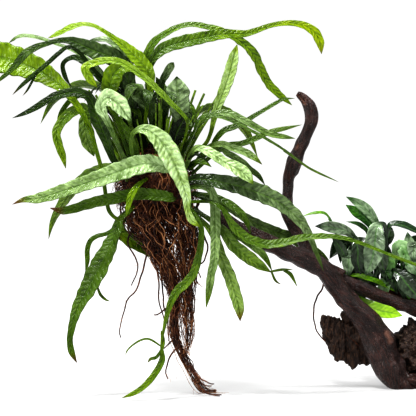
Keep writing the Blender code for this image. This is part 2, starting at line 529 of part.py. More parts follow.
def make_roots(root):
    add_object("fern_rhizome_ball", lumpy_ball(CORE_CENTRE, CORE_RADII, CORE_LUMP, 2), root)
    for name, points in (("fern_roots_left", BUNDLE_LEFT), ("fern_roots_right", BUNDLE_RIGHT)):

        def section(place, tangent, width):
            return round_section(place, tangent, width, ROOT_SIDES, BUNDLE_DEPTH)

        start = leave_core(points, section)
        bundle = tube_mesh(points, WOOD_STEP, ROOT_SIDES, BUNDLE_DEPTH, start_share=start, pointed=True)
        cut_flat(bundle, (0, 0, 0), (0, 0, 1))
        add_object(name, bundle, root)
    add_object("fern_root_strand", tube_mesh(STRAND_LEFT, WOOD_STEP, STRAND_SIDES), root)


def main():
    clear_scene()
    fern_green = make_material("fern_green", (0.10, 0.28, 0.03), 0.35)
    broad_green = make_material("broad_leaf_green", (0.05, 0.14, 0.04), 0.25)
    wood = make_material("wet_driftwood", (0.09, 0.04, 0.03), 0.35)
    bark = make_material("rough_bark", (0.05, 0.03, 0.02), 0.8)
    root = make_material("fern_roots", (0.10, 0.035, 0.015), 0.6)
    make_driftwood(wood, bark)
    make_roots(root)
    add_object("broad_plant_stem", tube_mesh(STEM_POINTS, WOOD_STEP, ROOT_SIDES), root)
    for name, face_base, face_tip, points in FERN_LEAVES + PLANTLETS:
        add_leaf(name, face_base, face_tip, points, fern_green)
    for name, face_base, face_tip, points in BROAD_LEAVES:
        add_leaf(name, face_base, face_tip, points, broad_green)


main()
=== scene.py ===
"""The looks of a java fern on driftwood: blistered strap leaves, a mat of fine roots, wet driftwood
with torn bark, and a small glossy broad-leaved plant behind it. All lengths are in metres unless a
name ends in _MM."""

import math

import bmesh
import bpy
import numpy as np
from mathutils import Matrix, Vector, noise


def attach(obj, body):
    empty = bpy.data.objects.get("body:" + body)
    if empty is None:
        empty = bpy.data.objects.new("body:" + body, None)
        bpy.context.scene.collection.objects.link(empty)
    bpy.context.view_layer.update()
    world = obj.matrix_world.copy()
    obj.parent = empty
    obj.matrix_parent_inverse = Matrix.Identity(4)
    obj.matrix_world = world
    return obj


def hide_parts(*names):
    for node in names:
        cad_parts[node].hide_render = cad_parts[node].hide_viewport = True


bl_info = {
    "name": "Java fern on driftwood",
    "version": (1, 0, 0),
    "blender": (4, 5, 0),
    "location": "3D View > Sidebar > Driftwood Fern",
    "description": "Builds the leaves, roots, driftwood and stage of an aquarium fern",
    "category": "Object",
}

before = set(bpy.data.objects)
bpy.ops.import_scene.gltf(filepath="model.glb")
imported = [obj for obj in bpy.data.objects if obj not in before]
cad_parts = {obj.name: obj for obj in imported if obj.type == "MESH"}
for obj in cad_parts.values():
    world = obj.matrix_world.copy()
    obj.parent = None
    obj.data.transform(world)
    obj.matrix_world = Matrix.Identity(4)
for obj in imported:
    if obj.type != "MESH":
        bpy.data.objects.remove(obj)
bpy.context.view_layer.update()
MM = 0.001
BODY = "root"
FLOOR_REACH = 12.0               # from the middle of the stage's floor to its sides
FIBRE_RADII_MM = (0.3, 0.75)     # the thinnest and the thickest fibre of a root bundle
BALL_CENTRE_MM = (-244, -57, 216)
BALL_RADII_MM = (36, 32, 38)
TIP_SHARE = 0.02                 # a leaf tip's width, as a share of the last ring's
TEAR_DEPTH = 0.9 * MM            # how deep a torn strip lies in the bark

# ---------------------------------------------------------------------------------------------
# Leaf colours by leaf: tone at the base and at the tip (0 dark green, 1 yellow green), pale silvery
# patches (partly the leaf's own pale colour, partly painted sheen) at the base and at the tip, and how far
# the tip has browned.
FERN_TONES = {
    # Painted glow: this tone is brighter yellow-green than the leaf's own colour, for light shining through
    # it.
    "fern_leaf_left_big": (0.6, 0.68, 0.1, 0.05, 0),
    "fern_leaf_left_arch": (0.4, 0.45, 0.75, 0.6, 0),
    "fern_leaf_left_long": (0.2, 0.42, 0.15, 0.25, 0.1),
    "fern_leaf_left_narrow": (0.18, 0.3, 0.2, 0.00, 0.5),
    # Painted glow: this tone is brighter yellow-green than the leaf's own colour, for light shining through
    # it.
    "fern_leaf_top_left": (0.62, 0.72, 0.05, 0.15, 0.2),
    "fern_leaf_left_blistered": (0.3, 0.25, 0.55, 0.55, 0),
    "fern_leaf_left_curl": (0.2, 0.3, 0.1, 0.1, 0),
    "fern_leaf_front_arch": (0.62, 0.72, 0.45, 0.1, 0),
    "fern_leaf_centre_bright": (0.45, 0.66, 0.05, 0.05, 0),
    "fern_leaf_left_glossy": (0.36, 0.16, 0.1, 0.1, 0.1),
    "fern_leaf_centre_droop": (0.48, 0.42, 0.8, 0.9, 0),
    "fern_leaf_left_hanging": (0.35, 0.7, 0.3, 0.05, 0.2),
    "fern_leaf_left_veined": (0.5, 0.6, 0.2, 0.35, 0),
    "fern_leaf_front_pale": (0.55, 0.75, 0.85, 0.8, 0.2),
    "fern_leaf_low_left_upper": (0.5, 0.56, 0.75, 0.4, 1),
    "fern_leaf_low_left_lower": (0.5, 0.42, 0.12, 0.05, 1),
    "fern_leaf_low_small": (0.66, 0.66, 0.05, 0.05, 0.1),
    "fern_leaf_hanging_left": (0.46, 0.46, 0.1, 0.1, 0.7),
    "fern_leaf_behind_roots": (0.6, 0.62, 0.1, 0.1, 0),
    "fern_leaf_over_roots": (0.5, 0.6, 0.15, 0.1, 0.3),
    "fern_leaf_top_right_far": (0.42, 0.66, 0.15, 0.05, 0.1),
    "fern_leaf_top_right_near": (0.24, 0.86, 0.15, 0.00, 0.5),
    "fern_leaf_blistered": (0.3, 0.26, 0.45, 0.65, 0),
    "fern_leaf_right_long": (0.42, 0.5, 0.3, 0.4, 0.2),
    "fern_leaf_right_pale_upper": (0.5, 0.55, 0.7, 0.7, 0.1),
    # Painted glow: this tone is brighter yellow-green than the leaf's own colour, for light shining through
    # it.
    "fern_leaf_right_upright": (0.66, 0.74, 0.55, 0.6, 0),
    "fern_leaf_right_far": (0.46, 0.4, 0.15, 0.2, 0),
    "fern_leaf_right_pale_middle": (0.6, 0.58, 0.65, 0.75, 0.3),
    "fern_leaf_right_folded": (0.62, 0.62, 0.95, 0.7, 0),
    "fern_leaf_right_big": (0.12, 0.52, 0, 0.75, 0.1),
    "fern_leaf_right_reaching": (0.5, 0.56, 0.15, 0.1, 0),
    "fern_leaf_right_behind": (0.34, 0.5, 0.4, 0.2, 0.2),
    "fern_leaf_right_olive": (0.4, 0.5, 0.2, 0.15, 0.2),
    "fern_leaf_right_low": (0.48, 0.6, 0.25, 0.2, 0.2),
    "fern_leaf_hanging_right": (0.58, 0.66, 0.45, 0.4, 0.8),
    "fern_leaf_hanging_front": (0.48, 0.58, 0.55, 0.45, 0.2),
    "plantlet_low": (0.6, 0.66, 0.15, 0.05, 0.3),
}

FACE_FRONT = (0, -1, 0.35)
FACE_SKY = (0, -0.45, 1)
FACE_LEFT = (-0.5, -0.8, 0.4)
FACE_RIGHT = (0.5, -0.8, 0.4)

# Small blades with no solid of their own: name, facing, tones, and (x, y, z, width) in millimetres.
SMALL_FERN_BLADES_MM = [
    ("small_leaf_narrow_fork", FACE_FRONT, (0.2, 0.3, 0.1, 0.1, 0.4), [
        (-361, -81, 327, 2), (-366, -82, 318, 2.4), (-371, -82, 309, 2), (-376, -82, 303, 0)]),
    ("small_leaf_loop", FACE_FRONT, (0.5, 0.5, 0.1, 0.1, 0.2), [
        (-270, -60, 182, 3), (-290, -64, 165, 4), (-302, -64, 161, 4.5), (-309, -64, 156, 5),
        (-312, -64, 147, 5), (-312, -64, 136, 4.5), (-314, -64, 122, 0)]),
    ("small_leaf_torn_stub", FACE_FRONT, (0.3, 0.34, 0.45, 0.6, 0), [
        (-236, -56, 258, 3), (-239, -56, 290, 4), (-238, -56, 312, 6), (-233, -56, 323, 8),
        (-228, -56, 331, 7), (-226, -56, 334, 0)]),
    ("small_leaf_dark_fold", FACE_RIGHT, (0.1, 0.14, 0.05, 0.05, 0), [
        (-226, -78, 240, 5), (-226, -85, 256, 12), (-223, -85, 267, 18), (-218, -85, 277, 12),
        (-214, -85, 284, 0)]),
    ("small_leaf_wavy", FACE_FRONT, (0.5, 0.55, 0.25, 0.35, 0), [
        (-210, -68, 228, 3), (-190, -70, 246, 4), (-172, -70, 253, 5), (-159, -69, 254, 6),
        (-145, -67, 259, 6), (-131, -64, 265, 5), (-117, -61, 268, 4.5), (-98, -58, 272, 0)]),
    ("small_leaf_silver", FACE_FRONT, (0.45, 0.4, 0.55, 0.55, 0.1), [
        (-208, -72, 224, 3), (-182, -77, 248, 5), (-172, -77, 245, 6.5), (-159, -77, 237, 7),
        (-151, -77, 230, 6), (-142, -77, 223, 5), (-135, -77, 213, 0)]),
    ("small_leaf_low_second", FACE_FRONT, (0.5, 0.55, 0.4, 0.35, 0.1), [
        (-212, -64, 194, 3), (-180, -66, 170, 5), (-160, -68, 160, 7), (-145, -69, 150, 8),
        (-135, -69, 140, 6), (-128, -69, 126, 0)]),
    ("small_leaf_dark_middle", FACE_FRONT, (0.14, 0.1, 0.15, 0.2, 0), [
        (-243, -64, 250, 3.5), (-248, -68, 280, 6), (-256, -69, 291, 11), (-262, -69, 296, 14),
        (-268, -69, 300, 14), (-274, -69, 304, 9), (-281, -69, 308, 0)]),
    ("small_leaf_crinkled", FACE_FRONT, (0.4, 0.4, 0.6, 0.6, 0), [
        (-246, -72, 262, 3), (-250, -74, 285, 6), (-257, -75, 296, 8), (-264, -75, 303, 9),
        (-273, -75, 309, 0)]),
    ("small_leaf_olive_hanging", FACE_FRONT, (0.36, 0.5, 0.1, 0.1, 0.3), [
        (-262, -66, 246, 3), (-292, -68, 288, 3.5), (-314, -70, 301, 4.5), (-325, -71, 300, 5),
        (-334, -71, 291, 5), (-339, -71, 279, 5), (-338, -71, 264, 0)]),
    ("small_leaf_inner_left", FACE_LEFT, (0.44, 0.5, 0.1, 0.1, 0), [
        (-258, -84, 236, 5), (-266, -92, 256, 9), (-272, -93, 270, 8), (-280, -93, 284, 0)]),
    ("small_leaf_inner_right", FACE_RIGHT, (0.3, 0.6, 0.1, 0.2, 0), [
        (-214, -80, 232, 4), (-204, -90, 238, 6), (-196, -91, 238, 6), (-188, -91, 233, 0)]),
    ("small_leaf_inner_arch", FACE_SKY, (0.2, 0.3, 0.3, 0.2, 0), [
        (-216, -82, 234, 3), (-206, -96, 246, 4), (-198, -99, 244, 4), (-190, -100, 237, 0)]),
    ("small_leaf_inner_back", FACE_FRONT, (0.34, 0.44, 0.3, 0.3, 0), [
        (-240, -46, 254, 4), (-236, -44, 284, 9), (-238, -42, 304, 13), (-244, -40, 318, 0)]),
    ("small_leaf_back_left", (-0.3, 0.9, 0.5), (0.36, 0.5, 0.2, 0.2, 0.1), [
        (-256, -38, 246, 4), (-276, -20, 280, 8), (-296, 0, 300, 13), (-322, 16, 302, 12),
        (-346, 27, 286, 8), (-360, 32, 262, 0)]),
    ("small_leaf_back_right", (0.3, 0.9, 0.5), (0.4, 0.6, 0.15, 0.15, 0.1), [
        (-226, -34, 244, 4), (-212, -16, 268, 8), (-194, 2, 280, 13), (-172, 16, 274, 12),
        (-154, 26, 254, 9), (-142, 32, 228, 0)]),
    ("small_leaf_back_low", (-0.2, 0.9, 0.4), (0.46, 0.52, 0.2, 0.2, 0.3), [
        (-256, -28, 214, 5), (-280, -10, 222, 10), (-304, 6, 216, 15), (-328, 18, 196, 13),
        (-346, 24, 168, 7), (-352, 26, 146, 0)]),
    ("small_leaf_back_middle", (0.1, 0.9, 0.5), (0.3, 0.46, 0.25, 0.2, 0.1), [
        (-240, -30, 236, 5), (-240, -10, 264, 9), (-242, 10, 272, 14), (-246, 28, 258, 12),
        (-250, 38, 232, 8), (-252, 42, 204, 0)]),
    ("plantlet_low_curl", FACE_SKY, (0.6, 0.6, 0.2, 0.1, 0.2), [
        (-238, -95, 54, 2), (-249, -94, 61, 3), (-257, -93, 61, 3), (-266, -93, 56, 2.6),
        (-272, -92, 50, 2), (-274, -92, 45, 0)]),
    ("plantlet_stem", FACE_FRONT, (0.6, 0.62, 0.1, 0.1, 0), [
        (-238, -93, 70, 2), (-237, -94, 63, 4), (-237, -95, 57, 4.5), (-238, -95, 51, 3),
        (-239, -95, 46, 0)]),
    ("plantlet_low_side", FACE_FRONT, (0.5, 0.55, 0.1, 0.1, 0.3), [
        (-238, -95, 52, 2), (-243, -96, 44, 3.5), (-249, -96, 42, 3), (-252, -96, 38, 0)]),
    ("plantlet_right_stem", FACE_FRONT, (0.6, 0.62, 0.1, 0.1, 0.2), [
        (-130, -84, 128, 2), (-118, -84, 130, 2.8), (-107, -84, 130, 0)]),
    ("plantlet_right_leaf", FACE_FRONT, (0.55, 0.62, 0.1, 0.1, 0.1), [
        (-117, -84, 129, 2), (-110, -84, 125, 4), (-103, -84, 112, 0)]),
    ("plantlet_right_curl", FACE_FRONT, (0.6, 0.62, 0.1, 0.1, 0.4), [
        (-129, -84, 128, 2), (-125, -84, 119, 2.4), (-119, -84, 115, 0)]),
    ("small_leaf_low_curl", FACE_FRONT, (0.6, 0.62, 0.3, 0.3, 0), [
        (-302, -76, 112, 2), (-299, -75, 104, 3), (-294, -75, 99, 2.4), (-289, -75, 97, 0)]),
]
SMALL_BROAD_BLADES_MM = [
    ("small_broad_left", FACE_FRONT, (0.25, 0.3, 0.25, 0.2, 0), [
        (-44, 32, 101, 2.5), (-50, 24, 120, 3), (-55, 21, 131, 8), (-61, 21, 141, 10), (-68, 21, 150, 0)]),
    ("small_broad_strip", FACE_SKY, (0.8, 0.8, 0.1, 0.1, 0), [
        (-54, 20, 112, 4), (-36, 17, 109, 9), (-15, 18, 101, 9), (-4, 20, 94, 0)]),
    ("small_broad_spear", FACE_FRONT, (0.5, 0.5, 0.3, 0.2, 0), [
        (-27, 34, 98, 2.5), (-30, 34, 146, 3), (-39, 32, 160, 5), (-54, 30, 164, 0)]),
    ("small_broad_pale", FACE_FRONT, (0.4, 0.4, 0.6, 0.6, 0), [
        (9, 30, 97, 2.5), (5, 22, 120, 4), (8, 19, 122, 9), (13, 18, 117, 9), (19, 17, 110, 0)]),
    ("small_broad_round", FACE_FRONT, (0.1, 0.1, 0.2, 0.2, 0), [
        (-18, 34, 98, 2.5), (-14, 32, 135, 3), (-12, 26, 146, 10), (-10, 25, 153, 11), (-8, 25, 160, 0)]),
    ("small_broad_low", FACE_FRONT, (0.45, 0.5, 0.4, 0.4, 0), [
        (-16, 28, 98, 2.5), (-13, 20, 114, 4), (-10, 17, 112, 6), (-8, 16, 107, 0)]),
    ("small_broad_back_left", (-0.3, 0.8, 0.5), (0.15, 0.2, 0.1, 0.1, 0), [
        (-40, 36, 100, 2.5), (-46, 40, 130, 3), (-52, 43, 140, 14), (-60, 45, 136, 19), (-70, 46, 124, 0)]),
    ("small_broad_back_right", (0.3, 0.8, 0.5), (0.15, 0.25, 0.1, 0.1, 0), [
        (0, 38, 96, 2.5), (6, 42, 128, 3), (14, 44, 140, 15), (24, 45, 136, 19), (34, 46, 124, 0)]),
    ("small_broad_back_middle", (0, 0.9, 0.5), (0.2, 0.3, 0.1, 0.1, 0), [
        (-22, 37, 98, 2.5), (-21, 41, 126, 3), (-19, 44, 134, 16), (-17, 46, 124, 20), (-15, 47, 106, 0)]),
]
BROAD_TONES = {
    "broad_leaf_top_pale": (0.45, 0.5, 0.65, 0.6, 0),
    "broad_leaf_top_green": (0.45, 0.55, 0.1, 0.05, 0),
    "broad_leaf_right_dark": (0.2, 0.3, 0.1, 0.05, 0),
    "broad_leaf_front_big": (0.34, 0.26, 0.6, 0.5, 0),
    "broad_leaf_front_dark": (0.15, 0.1, 0.2, 0.15, 0),
    "broad_leaf_left_grey": (0.22, 0.16, 0.55, 0.5, 0),
    "broad_leaf_left_bent": (0.7, 0.75, 0.1, 0.05, 0),
    "broad_leaf_glossy_oval": (0.1, 0.08, 0.2, 0.2, 0),
    "broad_leaf_right_upright": (0.3, 0.35, 0.6, 0.6, 0),
    "broad_leaf_between_limbs": (0.86, 0.95, 0.45, 0.00, 0),
}

# Centre lines of the wood and of the root bundles: (x, y, z, thickness) in millimetres.
LIMB_MM = [
    (-222, -57, 202, 15), (-185, -51, 179, 16), (-160, -46, 165, 16), (-142, -43, 156, 16.5),
    (-125, -39, 148, 17), (-108, -34, 139, 17), (-91, -29, 131, 18), (-76, -24, 121, 18),
    (-64, -19, 105, 19), (-49, -14, 87, 21), (-35, -10, 72, 24), (-25, -7, 57, 28),
    (-19, -5, 42, 30), (-13, -3, 26, 30), (-4, -2, 11, 27), (5, -1, 2, 23), (14, 0, -7, 20)]
HOOK_MM = [
    (-58, 4, 112, 12), (-66, 2, 117, 12), (-73, 0, 121, 12), (-83, -2, 130, 12), (-92, -4, 141, 11.5),
    (-100, -6, 153, 11), (-107, -7, 164, 11.5), (-113, -8, 177, 12), (-113, -8, 187, 11),
    (-112, -8, 200, 9.5), (-111, -8, 215, 11.5), (-106, -8, 227, 14.5), (-102, -8, 238, 12.5),
    (-97, -8, 249, 11.5), (-92, -7, 261, 12), (-89, -6, 271, 13), (-90, -5, 281, 12.5),
    (-95, -4, 290, 10), (-100, -4, 295, 8), (-103, -4, 297, 5)]
REAR_MM = [
    (-73, 0, 121, 12), (-62, 4, 112, 12), (-48, 6, 104, 12.5),
    (-34, 8, 98, 12.5), (-18, 11, 90, 13), (0, 14, 83, 13.5), (16, 18, 77, 14), (42, 25, 62, 15),
    (68, 33, 38, 17), (86, 38, 14, 19), (96, 41, -8, 20)]
RUNNER_MM = [
    (2, 1, 7, 14), (12, 0, 7, 15), (24, -3, 7, 16), (46, -8, 7, 15), (70, -15, 6, 13), (92, -24, 3, 9),
    (104, -30, 1, 5)]
STEM_MM = [(-60, 29, 93, 9), (-44, 30, 94, 11), (-20, 30, 91, 12), (4, 31, 88, 11), (18, 34, 84, 8)]
BUNDLE_LEFT_MM = [
    (-258, -57, 190, 36), (-259, -57, 176, 34), (-246, -57, 158, 27), (-235, -57, 133, 18),
    (-226, -57, 106, 10), (-226.5, -56, 66, 9.5), (-221, -52.5, 46, 8.5), (-210, -47, 23.5, 9),
    (-200, -42.5, 6, 8), (-192, -41.5, 2, 4), (-184, -41.5, 1.2, 2)]
BUNDLE_RIGHT_MM = [
    (-222, -57, 190, 36), (-222, -57, 176, 34), (-213, -57, 158, 27), (-213, -57, 133, 18),
    (-213, -57, 106, 10), (-211.5, -57, 66, 9.5), (-212, -57, 54, 6), (-215, -57, 42, 4)]
# The hanging mass of roots: height, left edge and right edge, in millimetres.
CURTAIN_MM = [
    (206, -268, -206), (190, -277, -203), (176, -275, -202), (160, -264, -201), (150, -257, -201),
    (135, -247, -202), (123, -241, -204), (108, -234, -205), (96, -231, -206), (70, -231, -207),
    (50, -227, -207), (36, -219, -203)]
STRAYS_MM = [
    [(-214, -57, 36), (-206, -58, 22), (-197, -60, 12), (-188, -62, 10)],
    [(-206, -57, 16), (-197, -59, 6), (-187, -63, 1.6), (-180, -66, 0.9)],
    [(-201, -57, 8), (-192, -58, 2), (-184, -56, 1), (-179, -58, 0.9)],
    [(-250, -66, 158), (-252, -70, 148), (-256, -72, 131), (-263, -73, 109), (-271, -73, 100),
     (-275, -73, 89), (-280, -73, 68), (-279, -73, 60)],
    [(-262, -62, 176), (-272, -66, 156), (-264, -68, 140), (-262, -68, 128), (-268, -68, 112)],
    [(-246, -66, 150), (-246, -68, 140), (-241, -70, 118), (-241, -70, 98), (-236, -70, 80),
     (-234, -70, 70)],
    [(-242, -60, 140), (-238, -64, 116), (-236, -66, 92), (-232, -66, 74), (-231, -66, 56)],
    [(-200, -60, 172), (-195, -62, 158), (-192, -62, 150), (-196, -62, 136), (-203, -62, 130),
     (-199, -62, 119)],
    [(-204, -58, 158), (-200, -60, 140), (-204, -60, 124), (-202, -60, 112)],
    [(-255, -58, 186), (-276, -62, 178), (-283, -66, 168), (-279, -68, 158)],
    [(-208, -57, 30), (-202, -62, 20), (-192, -66, 14), (-186, -66, 13)],
    [(-222, -60, 50), (-230, -66, 40), (-234, -66, 26), (-232, -66, 18)],
    [(-224, -60, 60), (-234, -64, 50), (-238, -66, 48)],
    [(-230, -62, 92), (-240, -66, 84), (-246, -66, 82)],
]
BARK_SCRAPS_MM = [
    ("bark_scrap_between", (-60, 15, 33), (-48, 20, 66)), ("bark_scrap_top", (-58, 15, 60), (-34, 21, 74)),
    ("bark_scrap_low", (-50, 16, 26), (-34, 21, 40))]
THIN_ROOT_MM = [
    (-76, 2, 106), (-78, 6, 98), (-84, 12, 88), (-86, 14, 74), (-85, 15, 61), (-81, 15, 52), (-74, 14, 45)]
BARK_ROOT_MM = [(-52, 11, 52), (-46, 11, 46), (-40, 11, 41), (-34, 10, 38)]


# ---------------------------------------------------------------------------------------------
# Colour and node helpers

def linear(hex_colour):
    """An sRGB hex colour as a linear RGBA tuple."""
    parts = [int(hex_colour[k:k + 2], 16) / 255 for k in (1, 3, 5)]
    return tuple(c / 12.92 if c <= 0.04045 else ((c + 0.055) / 1.055) ** 2.4 for c in parts) + (1.0,)


def add_node(tree, kind, settings=None, **inputs):
    """Adds a node, sets its properties, and sets or links its inputs by name or by number."""
    node = tree.nodes.new(kind)
    for key, value in (settings or {}).items():
        setattr(node, key, value)
    for key, value in inputs.items():
        socket = node.inputs[int(key[1:])] if key[0] == "i" and key[1:].isdigit() else \
            node.inputs[key.replace("_", " ")]
        if isinstance(value, bpy.types.NodeSocket):
            tree.links.new(value, socket)
        else:
            socket.default_value = value
    return node


def start_material(name):
    material = bpy.data.materials.new(name)
    material.use_nodes = True
    tree = material.node_tree
    tree.nodes.clear()
    shader = tree.nodes.new("ShaderNodeBsdfPrincipled")
    output = tree.nodes.new("ShaderNodeOutputMaterial")
    tree.links.new(shader.outputs["BSDF"], output.inputs["Surface"])
    return material, tree, shader


def ramp(tree, fac, stops):
    node = add_node(tree, "ShaderNodeValToRGB", Fac=fac)
    node.color_ramp.interpolation = "EASE"
    while len(node.color_ramp.elements) < len(stops):
        node.color_ramp.elements.new(0.5)
    for element, (place, colour) in zip(node.color_ramp.elements, stops):
        element.position = place
        element.color = linear(colour) if isinstance(colour, str) else (colour, colour, colour, 1)
    return node.outputs["Color"]


def maths(tree, operation, one, two=0.0, clamp=False):
    node = add_node(tree, "ShaderNodeMath", {"operation": operation, "use_clamp": clamp}, i0=one, i1=two)
    return node.outputs[0]


def times(tree, one, two, clamp=False):
    return maths(tree, "MULTIPLY", one, two, clamp)


def plus(tree, one, two, clamp=False):
    return maths(tree, "ADD", one, two, clamp)


def swing(tree, pattern, amount):
    """A pattern between 0 and 1 as a swing of this size about zero."""
    return times(tree, maths(tree, "SUBTRACT", pattern, 0.5), amount)


def mix(tree, fac, one, two):
    node = add_node(tree, "ShaderNodeMix", {"data_type": "RGBA"}, i0=fac, i6=one, i7=two)
    return node.outputs[2]


def surface(tree, shader, colour, roughness, shine=0.5, height=None, relief=1.0, depth_mm=1.6):
    """Links a surface's colour and roughness and its relief, which is up to depth_mm deep."""
    tree.links.new(colour, shader.inputs["Base Color"])
    tree.links.new(roughness, shader.inputs["Roughness"])
    shader.inputs["Specular IOR Level"].default_value = shine
    if height:
        bump = add_node(tree, "ShaderNodeBump", Height=height, Strength=relief, Distance=depth_mm * MM)
        tree.links.new(bump.outputs["Normal"], shader.inputs["Normal"])


def attribute(tree, name):
    return add_node(tree, "ShaderNodeAttribute", {"attribute_name": name}).outputs["Fac"]


def noise_at(tree, vector, size_mm, detail=3.0, roughness=0.55):
    """Noise whose lumps are about size_mm across, on a vector in metres."""
    node = add_node(tree, "ShaderNodeTexNoise", Vector=vector, Scale=1 / (size_mm * MM), Detail=detail,
                    Roughness=roughness)
    return node.outputs["Fac"]


def object_coords(tree):
    return add_node(tree, "ShaderNodeTexCoord").outputs["Object"]


def blade_patterns(tree, vein_mm):
    """A blade's side veins, midrib, crinkles and blotches, each between 0 and 1."""
    uv = add_node(tree, "ShaderNodeUVMap", {"uv_map": "blade"}).outputs["UV"]
    split = add_node(tree, "ShaderNodeSeparateXYZ", Vector=uv)
    across, along = split.outputs["X"], split.outputs["Y"]
    from_rib = maths(tree, "ABSOLUTE", maths(tree, "SUBTRACT", across, 0.5))
    blotch = noise_at(tree, object_coords(tree), 11.0, 2.0, 0.5)
    # 10 cm of blade is one unit of the map, and the slant carries the veins to the margins.
    slant = maths(tree, "SUBTRACT", times(tree, along, 100 / vein_mm), times(tree, from_rib, 2.4))
    slant = plus(tree, slant, blotch)
    veins = plus(tree, times(tree, maths(tree, "SINE", times(tree, slant, 2 * math.pi)), 0.5), 0.5)
    rib = ramp(tree, from_rib, [(0.0, 1.0), (0.03, 0.8), (0.07, 0.0), (1.0, 0.0)])
    # Crinkles are short folds that lie along the side veins.
    fold = add_node(tree, "ShaderNodeCombineXYZ", X=slant, Y=times(tree, across, 3.0), Z=along)
    crinkle = add_node(tree, "ShaderNodeTexNoise", Vector=fold.outputs[0], Scale=1.15, Detail=3.0,
                       Roughness=0.6).outputs["Fac"]
    return veins, rib, crinkle, blotch


def leaf_material(name, stops, gloss, shine, relief, vein_mm, bloom_and_sheen_colour, rib_colour):
    """Living leaf: waxy cuticle over green tissue, wet, so it has a clear soft gloss. Side veins rise
    at a slant from the midrib, the tissue between them is blistered, and pale silvery patches lie over
    the blisters: partly the leaf's own pale colour, partly painted sheen of light reflected from the blister
    tops."""
    material, tree, shader = start_material(name)
    veins, rib, crinkle, blotch = blade_patterns(tree, vein_mm)
    shade = plus(tree, attribute(tree, "tone"), swing(tree, blotch, 0.3))
    shade = plus(tree, shade, swing(tree, crinkle, 0.36))
    shade = plus(tree, shade, swing(tree, veins, 0.06))
    shade = plus(tree, shade, times(tree, attribute(tree, "under"), 0.08), True)
    # Pale silvery patches on the blister tops: partly the leaf's own pale colour, partly painted sheen of
    # reflected light.
    bloom_and_sheen = times(tree, ramp(tree, crinkle, [(0.3, 0.3), (0.62, 1.0)]),
                  ramp(tree, blotch, [(0.3, 0.5), (0.6, 1.0)]))
    bloom_and_sheen = times(tree, bloom_and_sheen, maths(tree, "POWER", attribute(tree, "pale"), 1.6), True)
    colour = mix(tree, times(tree, bloom_and_sheen, 1.45, True), ramp(tree, shade, stops), linear(bloom_and_sheen_colour))
    colour = mix(tree, times(tree, rib, 0.5), colour, linear(rib_colour))
    spots = ramp(tree, noise_at(tree, object_coords(tree), 5.0, 1.0), [(0.0, 1.0), (0.2, 1.0), (0.24, 0.0)])
    colour = mix(tree, times(tree, spots, 0.7), colour, linear("#1a1606"))
    colour = mix(tree, attribute(tree, "brown"), colour, linear("#6a3517"))
    height = plus(tree, crinkle, times(tree, veins, 0.35))
    height = maths(tree, "SUBTRACT", height, times(tree, rib, 0.4))
    roughness = ramp(tree, crinkle, [(0.3, gloss), (0.7, gloss + 0.15)])
    surface(tree, shader, colour, roughness, shine, height, relief)
    return material


def petiole_material():
    """Leaf stalks: round, firm and waxy, olive green with brown scurf near the rhizome."""
    material, tree, shader = start_material("fern_petiole")
    scurf = noise_at(tree, object_coords(tree), 7.0, 3.0, 0.6)
    colour = ramp(tree, scurf, [(0.28, "#2a1c0c"), (0.38, "#475a10"), (0.55, "#6f9018"), (0.8, "#98b436")])
    surface(tree, shader, colour, ramp(tree, scurf, [(0.3, 0.45), (0.7, 0.3)]))
    return material


def wood_material(name, torn):
    """Driftwood, soaked and dark: tannin-stained heartwood with the grain running along the limb,
    smooth and shiny with water, and a torn brown strip where the bark has peeled. Small pale mauve-grey
    dots are painted glints of light on the wet wood."""
    material, tree, shader = start_material(name)
    place = object_coords(tree)
    uv = add_node(tree, "ShaderNodeUVMap", {"uv_map": "limb"}).outputs["UV"]
    # The map has metres along and round, so the grain is stretched eight times along the limb.
    stretched = add_node(tree, "ShaderNodeMapping", Vector=uv, Scale=(0.12, 1.0, 1.0))
    grain = noise_at(tree, stretched.outputs["Vector"], 1.6, 4.0, 0.65)
    patch = noise_at(tree, place, 14.0, 3.0, 0.6)
    glint_speck = noise_at(tree, place, 1.3, 2.0, 0.7)
    shade = plus(tree, times(tree, grain, 0.6), times(tree, patch, 0.4))
    colour = ramp(tree, shade, [(0.32, "#0d0504"), (0.45, "#23110d"), (0.57, "#3e211a"), (0.74, "#785044")])
    bare = times(tree, attribute(tree, "torn"), ramp(tree, grain, [(0.3, 0.4), (0.6, 1.0)]))
    colour = mix(tree, bare, colour, linear(torn))
    # Pale mauve-grey dots: painted glints of light on the wet wood, laid over matching bumps.
    colour = mix(tree, ramp(tree, glint_speck, [(0.6, 0.0), (0.74, 0.5)]), colour, linear("#9a7f76"))
    height = plus(tree, times(tree, grain, 0.8), times(tree, glint_speck, 0.7))
    surface(tree, shader, colour, ramp(tree, patch, [(0.3, 0.12), (0.75, 0.3)]), 0.55, height, 1.0, 2.6)
    return material


def bark_material():
    """Old bark, waterlogged: fibrous plates, dark brown with greyer worn ridges, hardly shiny."""
    material, tree, shader = start_material("waterlogged_bark")
    place = object_coords(tree)
    upright = add_node(tree, "ShaderNodeMapping", Vector=place, Scale=(1.0, 1.0, 0.22))
    fibre = noise_at(tree, upright.outputs["Vector"], 1.6, 6.0, 0.7)
    plate = noise_at(tree, place, 11.0, 4.0, 0.6)
    colour = ramp(tree, fibre, [(0.32, "#120a07"), (0.48, "#2f1e15"), (0.62, "#5a4131"), (0.82, "#8a6f5b")])
    colour = mix(tree, ramp(tree, plate, [(0.4, 0.0), (0.7, 0.6)]), colour, linear("#170d08"))
    surface(tree, shader, colour, ramp(tree, fibre, [(0.3, 0.45), (0.8, 0.75)]), 0.4, fibre, 0.9, 1.4)
    return material


